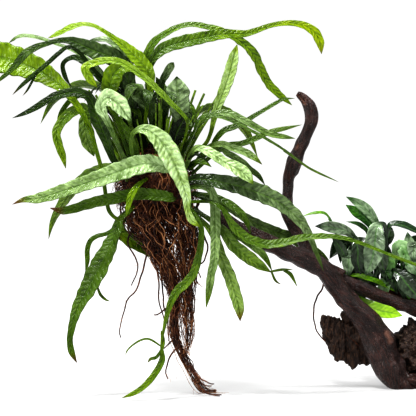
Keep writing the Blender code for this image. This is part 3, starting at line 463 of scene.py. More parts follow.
def heart_material():
    """Crumbled rotten heartwood and silt: dark brown and gritty, with paler grains that glint wet."""
    material, tree, shader = start_material("rotten_heartwood")
    place = object_coords(tree)
    grit = noise_at(tree, place, 1.3, 5.0, 0.75)
    lump = noise_at(tree, place, 8.0, 4.0, 0.6)
    colour = ramp(tree, grit, [(0.34, "#0b0504"), (0.48, "#2a1811"), (0.58, "#553d30"), (0.72, "#9a8371")])
    colour = mix(tree, ramp(tree, lump, [(0.46, 0.0), (0.76, 0.6)]), colour, linear("#1f130d"))
    surface(tree, shader, colour, ramp(tree, grit, [(0.3, 0.3), (0.75, 0.7)]), height=grit)
    return material


def grit_material():
    """Sand and bark crumbs stuck to the wet wood: small, pale to brown grains."""
    material, tree, shader = start_material("clinging_grit")
    pick = noise_at(tree, object_coords(tree), 2.2, 1.0)
    colour = ramp(tree, pick, [(0.35, "#1c120c"), (0.52, "#4a3527"), (0.68, "#8d7a66")])
    surface(tree, shader, colour, ramp(tree, pick, [(0.3, 0.25), (0.8, 0.6)]))
    return material


def root_material():
    """Fern roots: wiry, dark brown with rust-red young stretches, slightly shiny because wet."""
    material, tree, shader = start_material("fern_root_fibre")
    place = object_coords(tree)
    age = noise_at(tree, place, 14.0, 3.0, 0.6)
    streak = noise_at(tree, place, 1.8, 3.0, 0.6)
    shade = plus(tree, times(tree, age, 0.5), times(tree, streak, 0.5))
    shade = plus(tree, shade, times(tree, attribute(tree, "young"), 0.22), True)
    colour = ramp(tree, shade, [(0.36, "#140905"), (0.48, "#381b0f"), (0.6, "#6a3c22"), (0.78, "#b08058")])
    surface(tree, shader, colour, ramp(tree, streak, [(0.3, 0.4), (0.75, 0.65)]), 0.35)
    return material


def floor_material():
    """Back-lit white acrylic sheet: it glows evenly and takes only a faint soft shadow."""
    material, tree, shader = start_material("back_lit_white_acrylic")
    haze = noise_at(tree, object_coords(tree), 300.0, 1.0)
    tree.links.new(ramp(tree, haze, [(0.3, "#a0a0a0"), (0.7, "#a4a4a4")]), shader.inputs["Base Color"])
    shader.inputs["Roughness"].default_value = 0.9
    shader.inputs["Specular IOR Level"].default_value = 0.0
    shader.inputs["Emission Color"].default_value = (1, 1, 1, 1)
    shader.inputs["Emission Strength"].default_value = 0.27
    return material


# ---------------------------------------------------------------------------------------------
# Shape helpers

def make_object(name, verts, faces, material, smooth=True):
    mesh = bpy.data.meshes.new(name)
    mesh.from_pydata([tuple(v) for v in verts], [], faces)
    mesh.materials.append(material)
    mesh.polygons.foreach_set("use_smooth", [smooth] * len(mesh.polygons))
    obj = link_object(name, mesh)
    return obj


def set_attribute(mesh, name, values):
    layer = mesh.attributes.new(name, "FLOAT", "POINT")
    layer.data.foreach_set("value", np.asarray(values, np.float32))


def set_uv(mesh, name, coords):
    layer = mesh.uv_layers.new(name=name)
    loops = np.zeros(len(mesh.loops), np.int32)
    mesh.loops.foreach_get("vertex_index", loops)
    layer.data.foreach_set("uv", np.asarray(coords, np.float32)[loops].ravel())


def finish_piece(piece, nodes=()):
    """Turns the faces outwards and hands the piece to the frame."""
    shape = bmesh.new()
    shape.from_mesh(piece.data)
    bmesh.ops.recalc_face_normals(shape, faces=shape.faces)
    shape.to_mesh(piece.data)
    shape.free()
    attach(piece, BODY)
    if nodes:
        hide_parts(*nodes)
    return piece


def merged_copy(node):
    """A CAD node's mesh with its loose triangles welded, as a bmesh."""
    shape = bmesh.new()
    shape.from_mesh(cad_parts[node].data)
    bmesh.ops.remove_doubles(shape, verts=shape.verts, dist=2e-6)
    return shape


def catmull(values, places):
    """Catmull-Rom interpolation of rows of values at fractional row numbers."""
    values = np.asarray(values, float)
    last = len(values) - 1
    i = np.clip(np.floor(places).astype(int), 0, last - 1)
    t = (places - i)[:, None]
    p0, p1 = values[np.clip(i - 1, 0, last)], values[i]
    p2, p3 = values[i + 1], values[np.clip(i + 2, 0, last)]
    return 0.5 * (2 * p1 + (p2 - p0) * t + (2 * p0 - 5 * p1 + 4 * p2 - p3) * t ** 2
                  + (-p0 + 3 * p1 - 3 * p2 + p3) * t ** 3)


def unit(rows):
    return rows / np.maximum(np.linalg.norm(rows, axis=1, keepdims=True), 1e-12)


def ring_layers(tip):
    """The vertices around a leaf's tip, one ring after another, or None if a ring hasn't four corners."""
    seen = {tip}
    layer = [tip]
    rows = []
    while layer:
        layer = list({e.other_vert(v) for v in layer for e in v.link_edges} - seen)
        if layer and len(layer) != 4:
            return None
        seen.update(layer)
        if layer:
            rows.append([np.array(v.co) for v in layer])
    return rows


def read_ring(ring, way):
    """One ring's midrib point, half-width vector and margin rise. The two corners furthest apart are
    the margins, and way is the direction towards the tip."""
    spans = [(np.linalg.norm(ring[a] - ring[b]), (a, b)) for a in range(4) for b in range(a + 1, 4)]
    left, right = max(spans)[1]
    lower, upper = [ring[k] for k in range(4) if k not in (left, right)]
    middle = (lower + upper) / 2
    rise = (ring[left] + ring[right]) / 2 - middle
    half = (ring[left] - ring[right]) / 2
    return middle, half if np.dot(np.cross(way, rise), half) >= 0 else -half, rise


def read_blade(node):
    """Reads a leaf solid back as rows of midrib point, half-width vector and margin rise, base to tip."""
    shape = merged_copy(node)
    found = [(v, ring_layers(v)) for v in shape.verts if len(v.link_edges) == 4]
    found = [(np.array(v.co), rings) for v, rings in found if rings]
    shape.free()
    if not found:
        raise RuntimeError(f"{node}: no leaf tip found")
    tip, rings = found[0]
    rings.reverse()
    centres = [np.mean(ring, axis=0) for ring in rings] + [tip]
    rows = [read_ring(ring, after - centre) for ring, centre, after in zip(rings, centres, centres[1:])]
    rows.append((tip, rows[-1][1] * TIP_SHARE, rows[-1][2] * TIP_SHARE))
    return tuple(np.array(column) for column in zip(*rows))


def blade_from_points(points_mm, facing):
    """Rows like read_blade's, along a smooth curve through given points."""
    points = np.array(points_mm, float) * MM
    places = np.linspace(0, len(points) - 1, 4 * (len(points) - 1) + 1)
    rows = catmull(points, places)
    middles = rows[:, :3]
    tangents = unit(np.gradient(middles, axis=0))
    side = unit(np.cross(tangents, np.array(facing, float)))
    up = np.cross(side, tangents)
    width = np.maximum(rows[:, 3:], 0.05 * MM)
    return middles, side * width / 2, up * width * 0.13


def blade_frame(rows, step):
    """Even rows of a blade's midrib, half width, margin rise, upward direction and length so far."""
    steps = np.linalg.norm(np.diff(rows[0], axis=0), axis=1)
    length = steps.sum()
    count = max(20, int(length / step))
    marks = np.concatenate([[0], np.cumsum(steps)]) / length
    places = np.interp(np.linspace(0, 1, count), marks, np.arange(len(marks)))
    middle, half, rise = (catmull(values, places) for values in rows)
    up = unit(np.cross(unit(half), unit(np.gradient(middle, axis=0))))
    up *= np.sign(np.sum(up * rise, axis=1, keepdims=True) + 1e-12)
    return middle, half, rise, up, np.linspace(0, length, count)


def margins(along, blade, width, settings, seed):
    """Ripple and outline of the left and the right margin at every row."""
    def beat(period, shift):
        return np.sin(2 * math.pi * along / (settings["wave"] * period) + shift * seed)

    size = settings["ripple"] * width * blade
    ripples = [size * (beat(1, 1) + 0.5 * beat(0.43, 2)), size * (beat(1.17, 1.7) + 0.5 * beat(0.51, 1))]
    edges = [1 + settings["notch"] * beat(period, shift) * blade for period, shift in ((0.6, 3), (0.7, 5))]
    return ripples, edges


def blade_thickness(along, width, blade):
    """A round stalk where the leaf is narrow, a thin sheet where it is broad, and thinner at the tip."""
    thick = np.where(width < 5 * MM, 0.55 * width, 0.0) * (1 - blade) + 1.0 * MM * blade
    return np.maximum(thick, 0.25 * MM) * np.clip((along[-1] - along) / (4 * MM), 0.3, 1)


def blade_rings(frame_rows, blade, width, settings, seed):
    """The rings of corners round a blade, and each corner's place across it and its side."""
    middle, half, rise, up, along = frame_rows
    thick = blade_thickness(along, width, blade)
    ripples, edges = margins(along, blade, width, settings, seed)

    def column(u, face):
        """One column of corners at u across, face +1 on the upper side and -1 on the lower."""
        out = abs(u)
        right = int(u <= 0)
        vein = along / settings["vein"] + out * 0.9 + 0.35 * np.sin(along / (7 * MM) + seed)
        bulge = settings["blister"] * blade * np.sin(math.pi * np.clip(out, 0.06, 0.97)) * (
            0.5 - 0.5 * np.cos(2 * math.pi * vein))
        body = face * thick * (1 - 0.75 * out ** 1.5) / 2
        rib = face * 0.5 * MM * blade * math.exp(-(u / 0.09) ** 2) * (0.9 if face < 0 else -0.35)
        lift = ripples[right] * out ** 2.2 + bulge + body + rib
        return middle + half * (u * edges[right])[:, None] + rise * out ** 1.4 + up * lift[:, None]

    across = np.linspace(-1, 1, settings["columns"])
    loop = [(u, 1) for u in across] + [(u, -1) for u in across[-2:0:-1]]
    return np.stack([column(u, face) for u, face in loop], axis=1), loop


def ring_faces(count, sides):
    """Quads between each ring of corners and the next, and a cap on the first ring."""
    faces = []
    for start in range(0, (count - 1) * sides, sides):
        faces += [(start + k, start + (k + 1) % sides, start + sides + (k + 1) % sides, start + sides + k)
                  for k in range(sides)]
    return faces + [tuple(range(sides))]


def build_blade(name, rows, tones, material, settings):
    """A leaf as one thin closed shell: folded along the midrib, rippled at its margins and blistered."""
    frame_rows = blade_frame(rows, settings["step"])
    middle, half, along = frame_rows[0], frame_rows[1], frame_rows[4]
    length = along[-1]
    width = 2 * np.linalg.norm(half, axis=1)
    blade = np.clip((width - 4.5 * MM) / (4 * MM), 0, 1)
    seed = sum(ord(c) for c in name) * 0.173
    rings, loop = blade_rings(frame_rows, blade, width, settings, seed)
    count, sides = len(along), len(loop)
    verts = np.vstack([rings[:-1].reshape(-1, 3), middle[-1:]])
    last = (count - 2) * sides
    faces = ring_faces(count - 1, sides)
    faces += [(last + k, last + (k + 1) % sides, len(verts) - 1) for k in range(sides)]
    obj = make_object(name, verts, faces, material)

    run = np.append(np.repeat(along[:-1], sides), length)
    across = np.append(np.tile([(u + 1) / 2 for u, _ in loop], count - 1), 0.5)
    set_uv(obj.data, "blade", np.column_stack([across, run / 0.1]))
    share = run / length
    petiole = 1 - np.append(np.repeat(blade[:-1], sides), blade[-1])
    tone_a, tone_b, pale_a, pale_b, brown = tones
    set_attribute(obj.data, "tone", tone_a + (tone_b - tone_a) * share - 0.06 * petiole * (share < 0.7))
    set_attribute(obj.data, "pale", (pale_a + (pale_b - pale_a) * share) * (1 - 0.8 * petiole))
    from_tip = length - run
    set_attribute(obj.data, "brown", brown * np.clip(1.15 - from_tip / (4 * MM + 10 * MM * brown), 0, 1))
    under = np.tile([0.0 if face > 0 else 1.0 for _, face in loop], count - 1)
    set_attribute(obj.data, "under", np.append(under, 0.5))
    return obj


def tube_rows(points_mm, step):
    """Even rows of centre, thickness and frame along a smooth curve through the points."""
    points = np.array(points_mm, float) * MM
    fine = catmull(points, np.linspace(0, len(points) - 1, 16 * len(points)))
    lengths = np.concatenate([[0], np.cumsum(np.linalg.norm(np.diff(fine[:, :3], axis=0), axis=1))])
    along = np.linspace(0, lengths[-1], max(4, int(lengths[-1] / step)))
    rows = np.column_stack([np.interp(along, lengths, fine[:, k]) for k in range(4)])
    tangent = unit(np.gradient(rows[:, :3], axis=0))
    across = unit(np.array([0, 1, 0]) - tangent * tangent[:, 1:2])
    other = np.cross(across, tangent)
    return rows, along, across, other


def limit(value):
    return min(1, max(0, value))


def knot_height(knots, at, round_by, length, radius):
    """How far the knots lift the bark at a place along and round a limb."""
    lift = 0.0
    for place, turn, size, height in knots:
        far = ((at - place) * length) ** 2 + (radius * angle_gap(round_by, turn)) ** 2
        lift += height * MM * math.exp(-far / (size * MM) ** 2)
    return lift


def tear_amount(torn, at, round_by, length):
    """1 inside a torn strip, 0 outside, with a ragged soft edge."""
    amount = 0.0
    for start, end, turn, spread in torn:
        inside = limit((at - start) * length / (2 * MM)) * limit((end - at) * length / (2 * MM))
        edge = spread * (0.75 + 0.4 * noise.noise(Vector((at * length / 0.005, turn, 0))))
        amount = max(amount, inside * limit((edge - angle_gap(round_by, turn)) * 6))
    return amount


def bark_swell(run, angle):
    """Grooves, ridges and lumps that flow along a limb, as a share of its radius."""
    flow = Vector((run / 0.045, 1.6 * math.cos(angle), 1.6 * math.sin(angle)))
    grooves = noise.fractal(flow * 1.3, 0.9, 2.0, 4) * 0.15
    ridge = math.sin(3 * angle + run * 42 + 2.5 * noise.noise(flow)) * 0.05
    lumps = noise.noise(Vector((run / 0.013, 1.8 * math.cos(angle), 1.8 * math.sin(angle)))) * 0.17
    return grooves + ridge + lumps


def build_limb(name, points_mm, material, settings, knots=(), torn=(), depth=1.0, tip_tear=0.0):
    """A limb as a fine closed tube with flowing grooves, knots and torn strips. Knots are
    (share along, angle, radius in mm, height in mm); torn strips are (from, to, angle, half-angle)."""
    rows, along, across, other = tube_rows(points_mm, settings["step"])
    sides = settings["sides"]
    length = along[-1]
    verts, tears, uvs = [], [], []
    for row, run, side, top in zip(rows, along, across, other):
        share = run / length
        radius = row[3] / 2
        for k in range(sides):
            angle = 2 * math.pi * k / sides
            tear = tear_amount(torn, share, angle, length)
            r = radius * (1 + bark_swell(run, angle)) + knot_height(knots, share, angle, length, radius)
            r -= tear * TEAR_DEPTH
            if tip_tear and share > 1 - tip_tear:
                ragged = noise.noise(Vector((3 * math.cos(angle), 3 * math.sin(angle), 7))) + 0.3
                r -= radius * 0.5 * ragged * (share - 1 + tip_tear) / tip_tear
            point = row[:3] + top * (r * math.cos(angle)) + side * (r * depth * math.sin(angle))
            verts.append((point[0], point[1], max(point[2], 0.0)))
            tears.append(tear)
            uvs.append((run, angle * radius))
    faces = ring_faces(len(rows), sides)
    faces.append(tuple(range((len(rows) - 1) * sides, len(rows) * sides)))
    obj = make_object(name, verts, faces, material)
    set_attribute(obj.data, "torn", tears)
    set_uv(obj.data, "limb", uvs)
    return obj


def link_object(name, data):
    obj = bpy.data.objects.new(name, data)
    bpy.context.scene.collection.objects.link(obj)
    return obj


def angle_gap(one, two):
    return abs((one - two + math.pi) % (2 * math.pi) - math.pi)


def weathered(name, shape, material, voxel, rough, stretch, shift=0.0):
    """A coarse solid remeshed finely and worn by noise: rough is the depth of the wear, stretch its
    coarseness along each axis, and shift moves the whole surface outwards by a share of rough."""
    mesh = bpy.data.meshes.new(name)
    shape.to_mesh(mesh)
    shape.free()
    obj = link_object(name, mesh)
    modifier = obj.modifiers.new("voxels", "REMESH")
    modifier.mode = "VOXEL"
    modifier.voxel_size = voxel
    graph = bpy.context.evaluated_depsgraph_get()
    fine = bpy.data.meshes.new_from_object(obj.evaluated_get(graph))
    obj.modifiers.clear()
    obj.data = fine
    fine.materials.clear()
    fine.materials.append(material)
    place = np.zeros(len(fine.vertices) * 3)
    normal = np.zeros(len(fine.vertices) * 3)
    fine.vertices.foreach_get("co", place)
    fine.vertices.foreach_get("normal", normal)
    place, normal = place.reshape(-1, 3), normal.reshape(-1, 3)
    depth = np.array([noise.fractal(Vector(p / stretch), 0.9, 2.1, 5) for p in place])
    crack = np.array([noise.ridged_multi_fractal(Vector(p / stretch * 1.9), 1.0, 2.1, 3, 1.0, 2.0)
                      for p in place])
    wear = np.clip(depth * 1.3, -0.9, 0.9) - 0.35 * np.clip(crack - 1.2, 0, 1.2) + shift
    place += normal * (wear * rough)[:, None]
    place[:, 2] = np.maximum(place[:, 2], 0)
    fine.vertices.foreach_set("co", place.ravel())
    fine.polygons.foreach_set("use_smooth", [True] * len(fine.polygons))
    fine.update()
    return obj


def box_shape(low_mm, high_mm):
    """A plain box between two corners, as a bmesh."""
    shape = bmesh.new()
    bmesh.ops.create_cube(shape, size=1.0)
    low, high = Vector(low_mm) * MM, Vector(high_mm) * MM
    for vert in shape.verts:
        vert.co = Vector([low[k] + (high[k] - low[k]) * (vert.co[k] + 0.5) for k in range(3)])
    return shape


# ---------------------------------------------------------------------------------------------
# Geometry Nodes

def new_tree(name, sockets):
    """A geometry tree with a Geometry input and output and the named inputs, and its input ids."""
    tree = bpy.data.node_groups.new(name, "GeometryNodeTree")
    tree.interface.new_socket("Geometry", in_out="INPUT", socket_type="NodeSocketGeometry")
    ids = {}
    for label, kind, value in sockets:
        socket = tree.interface.new_socket(label, in_out="INPUT", socket_type=kind)
        if value is not None:
            socket.default_value = value
        ids[label] = socket.identifier
    tree.interface.new_socket("Geometry", in_out="OUTPUT", socket_type="NodeSocketGeometry")
    return tree, ids


def end_tree(tree, given, geometry):
    """Ends a geometry tree: real geometry in the given material goes to the output."""
    real = add_node(tree, "GeometryNodeRealizeInstances", Geometry=geometry)
    painted = add_node(tree, "GeometryNodeSetMaterial", Geometry=real.outputs["Geometry"],
                       Material=given.outputs["Material"])
    out = tree.nodes.new("NodeGroupOutput")
    tree.links.new(painted.outputs["Geometry"], out.inputs["Geometry"])


def apply_tree(obj, tree, ids, values):
    """Runs a geometry tree on an object and leaves the result as its plain mesh."""
    modifier = obj.modifiers.new(tree.name, "NODES")
    modifier.node_group = tree
    for label, value in values.items():
        modifier[ids[label]] = value
    bpy.context.view_layer.update()
    graph = bpy.context.evaluated_depsgraph_get()
    mesh = bpy.data.meshes.new_from_object(obj.evaluated_get(graph))
    obj.modifiers.clear()
    obj.data = mesh
    mesh.name = obj.name
    return obj


def fibre_tree():
    """Turns edge paths into round fibres whose radius is each point's own."""
    tree, ids = new_tree("root_fibres", [
        ("Thickness", "NodeSocketFloat", 1.0), ("Sides", "NodeSocketInt", 5),
        ("Material", "NodeSocketMaterial", None)])
    given = tree.nodes.new("NodeGroupInput")
    curve = add_node(tree, "GeometryNodeMeshToCurve", Mesh=given.outputs["Geometry"])
    radius = add_node(tree, "GeometryNodeInputNamedAttribute", {"data_type": "FLOAT"}, Name="fibre_radius")
    scaled = add_node(tree, "ShaderNodeMath", {"operation": "MULTIPLY"}, i0=radius.outputs["Attribute"],
                      i1=given.outputs["Thickness"])
    profile = add_node(tree, "GeometryNodeCurvePrimitiveCircle", {"mode": "RADIUS"},
                       Resolution=given.outputs["Sides"], Radius=1.0)
    fibre = tree.nodes.new("GeometryNodeCurveToMesh")
    tree.links.new(curve.outputs[0], fibre.inputs["Curve"])
    tree.links.new(profile.outputs["Curve"], fibre.inputs["Profile Curve"])
    tree.links.new(scaled.outputs[0], fibre.inputs["Scale"])
    fibre.inputs["Fill Caps"].default_value = True
    end_tree(tree, given, fibre.outputs["Mesh"])
    return tree, ids


def grit_tree():
    """Scatters small irregular grains over a surface."""
    tree, ids = new_tree("clinging_grit", [
        ("Grains per square metre", "NodeSocketFloat", 60000.0), ("Grain radius", "NodeSocketFloat", 0.0006),
        ("Seed", "NodeSocketInt", 4), ("Material", "NodeSocketMaterial", None)])
    given = tree.nodes.new("NodeGroupInput")
    points = add_node(tree, "GeometryNodeDistributePointsOnFaces", Mesh=given.outputs["Geometry"],
                      Density=given.outputs["Grains per square metre"], Seed=given.outputs["Seed"])
    grain = add_node(tree, "GeometryNodeMeshIcoSphere", Radius=given.outputs["Grain radius"], Subdivisions=1)
    size = add_node(tree, "FunctionNodeRandomValue", {"data_type": "FLOAT"}, Seed=given.outputs["Seed"])
    size.inputs[2].default_value = 0.4
    size.inputs[3].default_value = 1.5
    placed = add_node(tree, "GeometryNodeInstanceOnPoints", Points=points.outputs["Points"],
                      Instance=grain.outputs["Mesh"], Rotation=points.outputs["Rotation"])
    tree.links.new(size.outputs[1], placed.inputs["Scale"])
    end_tree(tree, given, placed.outputs["Instances"])
    return tree, ids


def fibres(name, paths, material, sides):
    """Makes one mesh of round fibres from paths of (points, radii, young) by the fibre tree."""
    verts, edges, radii, young = [], [], [], []
    for points, sizes, age in paths:
        start = len(verts)
        verts += [tuple(p) for p in points]
        edges += [(start + k, start + k + 1) for k in range(len(points) - 1)]
        radii += list(sizes)
        young += [age] * len(points)
    mesh = bpy.data.meshes.new(name)
    mesh.from_pydata(verts, edges, [])
    set_attribute(mesh, "fibre_radius", radii)
    set_attribute(mesh, "young", young)
    obj = link_object(name, mesh)
    tree, ids = fibre_tree()
    apply_tree(obj, tree, ids, {"Thickness": 1.0, "Sides": sides, "Material": material})
    obj.data.polygons.foreach_set("use_smooth", [True] * len(obj.data.polygons))
    return obj


def bundle_paths(points_mm, count, rng):
    """Fibres that run down inside a bundle's envelope, some ending early, a few wandering outside."""
    rows, along, across, other = tube_rows(points_mm, 3.0 * MM)
    length = along[-1]
    paths = []
    for _ in range(count):
        ring = math.sqrt(rng.uniform(0.03, 1.0)) * rng.uniform(0.85, 1.1)
        turn = rng.uniform(0, 2 * math.pi)
        twist = rng.normal(0, 6.0)
        end = length * (1.0 if rng.random() < 0.42 else rng.uniform(0.3, 0.97))
        start = length * rng.uniform(0.0, 0.07)
        stray = max(0.0, rng.normal(0.0, 0.14))
        keep = (along >= start) & (along <= end)
        if keep.sum() < 6:
            continue
        seed = rng.uniform(0, 100)
        points, sizes = [], []
        base = rng.uniform(*FIBRE_RADII_MM) * MM
        for n in np.where(keep)[0]:
            share = (along[n] - start) / max(end - start, 1e-6)
            wander = noise.noise(Vector((seed, along[n] / 0.014, 0.0)))
            sway = noise.noise(Vector((seed + 31, along[n] / 0.022, 5.0)))
            angle = turn + twist * along[n] + 1.3 * sway
            reach = rows[n, 3] / 2 * min(1.15, ring * (1 + 0.6 * wander)) + stray * share * 12 * MM
            point = rows[n, :3] + other[n] * (reach * math.cos(angle))
            point = point + across[n] * (1.2 * reach * math.sin(angle))
            point = point + np.array([wander, sway, 0]) * 1.1 * MM
            point[2] = max(point[2], 0.7 * MM)
            points.append(point)
            sizes.append(base * (1 - 0.65 * share ** 2))
        paths.append((points, sizes, float(rng.random() < 0.3)))
    return paths


def curtain_paths(count, rng):
    """Fibres that hang from the whole underside of the rhizome ball and gather towards the bundles."""
    levels = np.array(CURTAIN_MM, float)
    heights = levels[::-1, 0]
    paths = []
    for _ in range(count):
        share = rng.uniform(0, 1)
        depth = rng.uniform(-1, 1)
        top = rng.uniform(182, 206)
        low = rng.uniform(62, 150) if rng.random() < 0.75 else rng.uniform(40, 60)
        seed = rng.uniform(0, 100)
        base = rng.uniform(0.3, 0.8) * MM
        points, sizes = [], []
        count_rows = int((top - low) / 4)
        for z in np.linspace(top, low, count_rows):
            left = np.interp(z, heights, levels[::-1, 1])
            right = np.interp(z, heights, levels[::-1, 2])
            slip = 0.28 * noise.noise(Vector((seed, z / 26, 0))) + 0.1 * noise.noise(Vector((seed, z / 9, 4)))
            place = min(1.04, max(-0.04, share + slip))
            bow = math.sqrt(max(0.0, 1 - (2 * place - 1) ** 2))
            back = 0.42 * (right - left) * bow * (depth + 0.5 * noise.noise(Vector((seed, z / 20, 9))))
            points.append(np.array([left + (right - left) * place, BALL_CENTRE_MM[1] + back, z]) * MM)
            sizes.append(base * (1 - 0.6 * ((top - z) / (top - low)) ** 2))
        paths.append((points, sizes, float(rng.random() < 0.3)))
    return paths


def bend_at(seed, share):
    """A smooth random bend at a share of the way along a thin root."""
    return np.array([noise.noise(Vector((seed, share * 3, k))) for k in range(3)])


def fuzz_paths(count, rng):
    """Short root hairs and old leaf bases that cover the rhizome ball."""
    centre = np.array(BALL_CENTRE_MM) * MM
    radii = np.array(BALL_RADII_MM) * MM
    paths = []
    for _ in range(count):
        way = unit(rng.normal(0, 1, (1, 3)))[0]
        start = centre + radii * way * 0.96
        slide = np.cross(way, unit(rng.normal(0, 1, (1, 3)))[0])
        reach = rng.uniform(9, 24) * MM
        seed = rng.uniform(0, 100)
        run = []
        for step in range(8):
            share = step / 7
            lift = way * 5.5 * MM * math.sin(math.pi * min(share * 0.8, 0.75))
            drop = np.array([0, 0, -0.55]) * reach * share ** 1.5
            bend = bend_at(seed, share) * reach * 0.25 * share
            run.append(start + slide * reach * share + lift + drop + bend)
        size = rng.uniform(0.25, 0.6) * MM
        paths.append((run, [size * (1 - 0.6 * k / 7) for k in range(8)], float(rng.random() < 0.2)))
    return paths


def petiole_paths(count, rng):
    """Leaf stalks that crowd out of the top of the rhizome ball behind the big leaves."""
    paths = []
    for _ in range(count):
        x, y = rng.uniform(-292, -202), rng.uniform(-88, -34)
        lean = (x + 244) / 44
        reach = rng.uniform(50, 88)
        side = rng.normal(0, 7)
        foot = np.array([-244 + (x + 244) * 0.6, -57 + (y + 57) * 0.6, 226 - 8 * abs(lean)])
        run = []
        for share in np.linspace(0, 1, 9):
            out = np.array([lean * 30 * share ** 1.5 + side * share, (y + 57) * 0.5 * share, reach * share])
            run.append((foot + out) * MM)
        size = rng.uniform(1.1, 2.0) * MM
        paths.append((run, [size * (1 - 0.35 * k / 8) for k in range(9)], 0.0))
    return paths


def tuft_blades(count, rng):
    """Small leaves that fill the middle of the tuft: points, facing and tones of each."""
    blades = []
    for _ in range(count):
        turn = rng.uniform(0, 2 * math.pi)
        out = np.array([math.cos(turn), 0.75 * math.sin(turn)])
        reach = rng.uniform(52, 88) * (1 - 0.4 * max(0, out[0]))
        spread = rng.uniform(0.25, 0.62)
        width = rng.uniform(8, 15)
        foot = np.array([-244 + 16 * out[0], -57 + 15 * out[1], 244 - rng.uniform(0, 10)])
        points = []
        for up, away, wide in ((0, 0, 3), (0.4, 0.12, 4), (0.72, 0.42, 0.8 * width), (0.86, 0.75, width),
                               (0.84, 1.1, 0.8 * width), (0.66, 1.42, 0)):
            flat = out * reach * spread * away
            points.append((foot[0] + flat[0], foot[1] + flat[1], foot[2] + reach * up, wide))
        facing = (0.9 * out[0], 0.9 * out[1] - 0.35, 0.9)
        tone = rng.uniform(0.08, 0.5)
        pale = rng.uniform(0.0, 0.4)
        blades.append((points, facing, (tone, tone + 0.08, pale, pale, 0.0)))
    return blades


def bush_blades(count, rng):
    """Broad leaves that fill the second plant: points, facing and tones of each."""
    blades = []
    for k in range(count):
        x = -56 + 76 * (k + rng.uniform(0, 1)) / count
        front = k % 3 != 2
        low = k % 3 == 0
        y = rng.uniform(20, 28) if front else rng.uniform(33, 41)
        top = rng.uniform(102, 114) if low else rng.uniform(116, 150)
        side = rng.uniform(-15, 15)
        width = rng.uniform(12, 17)
        lean = -0.9 if front else 0.5
        points = [
            (x * 0.9, 31, 95, 2.2), (x + side * 0.2, (31 + y) / 2, (95 + top) / 2, 2.4),
            (x + side * 0.5, y, top - 3, 0.8 * width), (x + side * 0.85, y + lean * 2, top, width),
            (x + side * 1.2, y + lean * 4, top - 9, 0.85 * width),
            (x + side * 1.4, y + lean * 5, top - 20, 0)]
        tone = rng.uniform(0.5, 0.75) if rng.random() < 0.25 else rng.uniform(0.1, 0.35)
        pale = rng.uniform(0.1, 0.6)
        facing = (side / 25, -1.0 if front else 0.2, 0.75)
        blades.append((points, facing, (tone, tone, pale, pale, 0.0)))
    return blades


def hair_paths(source, count, rng, lengths_mm, down):
    """Short fine side roots that leave random points of other fibres."""
    paths = []
    for _ in range(count):
        points, _, _ = source[rng.integers(len(source))]
        at = np.array(points[rng.integers(len(points) // 3, len(points))])
        turn = rng.uniform(0, 2 * math.pi)
        way = np.array([math.cos(turn), 0.7 * math.sin(turn), rng.uniform(-0.9, 0.35)])
        reach = rng.uniform(*lengths_mm) * MM
        seed = rng.uniform(0, 100)
        run = []
        for step in range(7):
            share = step / 6
            point = at + way * reach * share + bend_at(seed, share) * reach * 0.35 * share
            point = point + np.array([0, 0, -down]) * reach * share ** 2
            point[2] = max(point[2], 0.5 * MM)
            run.append(point)
        paths.append((run, [0.17 * MM * (1 - 0.5 * k / 6) for k in range(7)], 1.0))
    return paths


def path_through(points_mm, radius_mm, end_mm, step=2.5 * MM):
    """One fibre along a smooth curve through given points."""
    rows, along, _, _ = tube_rows([(*p, 1.0) for p in points_mm], step)
    seed = points_mm[0][0]
    wiggle = np.array([[noise.noise(Vector((seed + k, a / 0.009, 1.0))) for k in (0, 7, 13)] for a in along])
    sizes = np.linspace(radius_mm, end_mm, len(rows)) * MM
    return (rows[:, :3] + wiggle * 0.9 * MM, sizes, 0.0)


# ---------------------------------------------------------------------------------------------
# Settings that a user can change

class FernSettings(bpy.types.PropertyGroup):
    blade_step: bpy.props.FloatProperty(
        name="Blade step", description="Spacing of the rows of a leaf blade", default=0.0014, unit="LENGTH")
    ripple: bpy.props.FloatProperty(
        name="Margin ripple", description="Ripple of the margins as a share of the width", default=0.045)
    blister: bpy.props.FloatProperty(
        name="Blister height", description="Height of the blisters between the side veins",
        default=0.00026, unit="LENGTH")
    # This colour is partly the leaves' own pale silvery colour and partly painted sheen of reflected light.
    pale: bpy.props.StringProperty(
        name="Bloom colour", description="sRGB colour of the silvery bloom", default="#bcd6a0")
    tuft_count: bpy.props.IntProperty(
        name="Tuft leaves", description="Small leaves in the middle of the tuft", default=20)
    bush_count: bpy.props.IntProperty(
        name="Bush leaves", description="Extra leaves that fill the second plant", default=30)
    petiole_count: bpy.props.IntProperty(
        name="Stalks", description="Leaf stalks in the middle of the tuft", default=70)


class WoodSettings(bpy.types.PropertyGroup):
    ring_step: bpy.props.FloatProperty(
        name="Ring step", description="Spacing of a limb's rings", default=0.0016, unit="LENGTH")
    sides: bpy.props.IntProperty(name="Sides", description="Corners round a limb", default=56)
    torn_colour: bpy.props.StringProperty(
        name="Torn wood colour", description="sRGB colour of freshly torn wood", default="#7d5645")


class RootSettings(bpy.types.PropertyGroup):
    left_count: bpy.props.IntProperty(
        name="Left fibres", description="Fibres in the left bundle", default=75)
    right_count: bpy.props.IntProperty(
        name="Right fibres", description="Fibres in the right bundle", default=60)
    hair_count: bpy.props.IntProperty(
        name="Side roots", description="Fine side roots on each bundle", default=120)
    curtain_count: bpy.props.IntProperty(
        name="Hanging fibres", description="Fibres between the ball and the bundles", default=125)
    fuzz_count: bpy.props.IntProperty(
        name="Ball fibres", description="Short fibres that cover the rhizome ball", default=900)


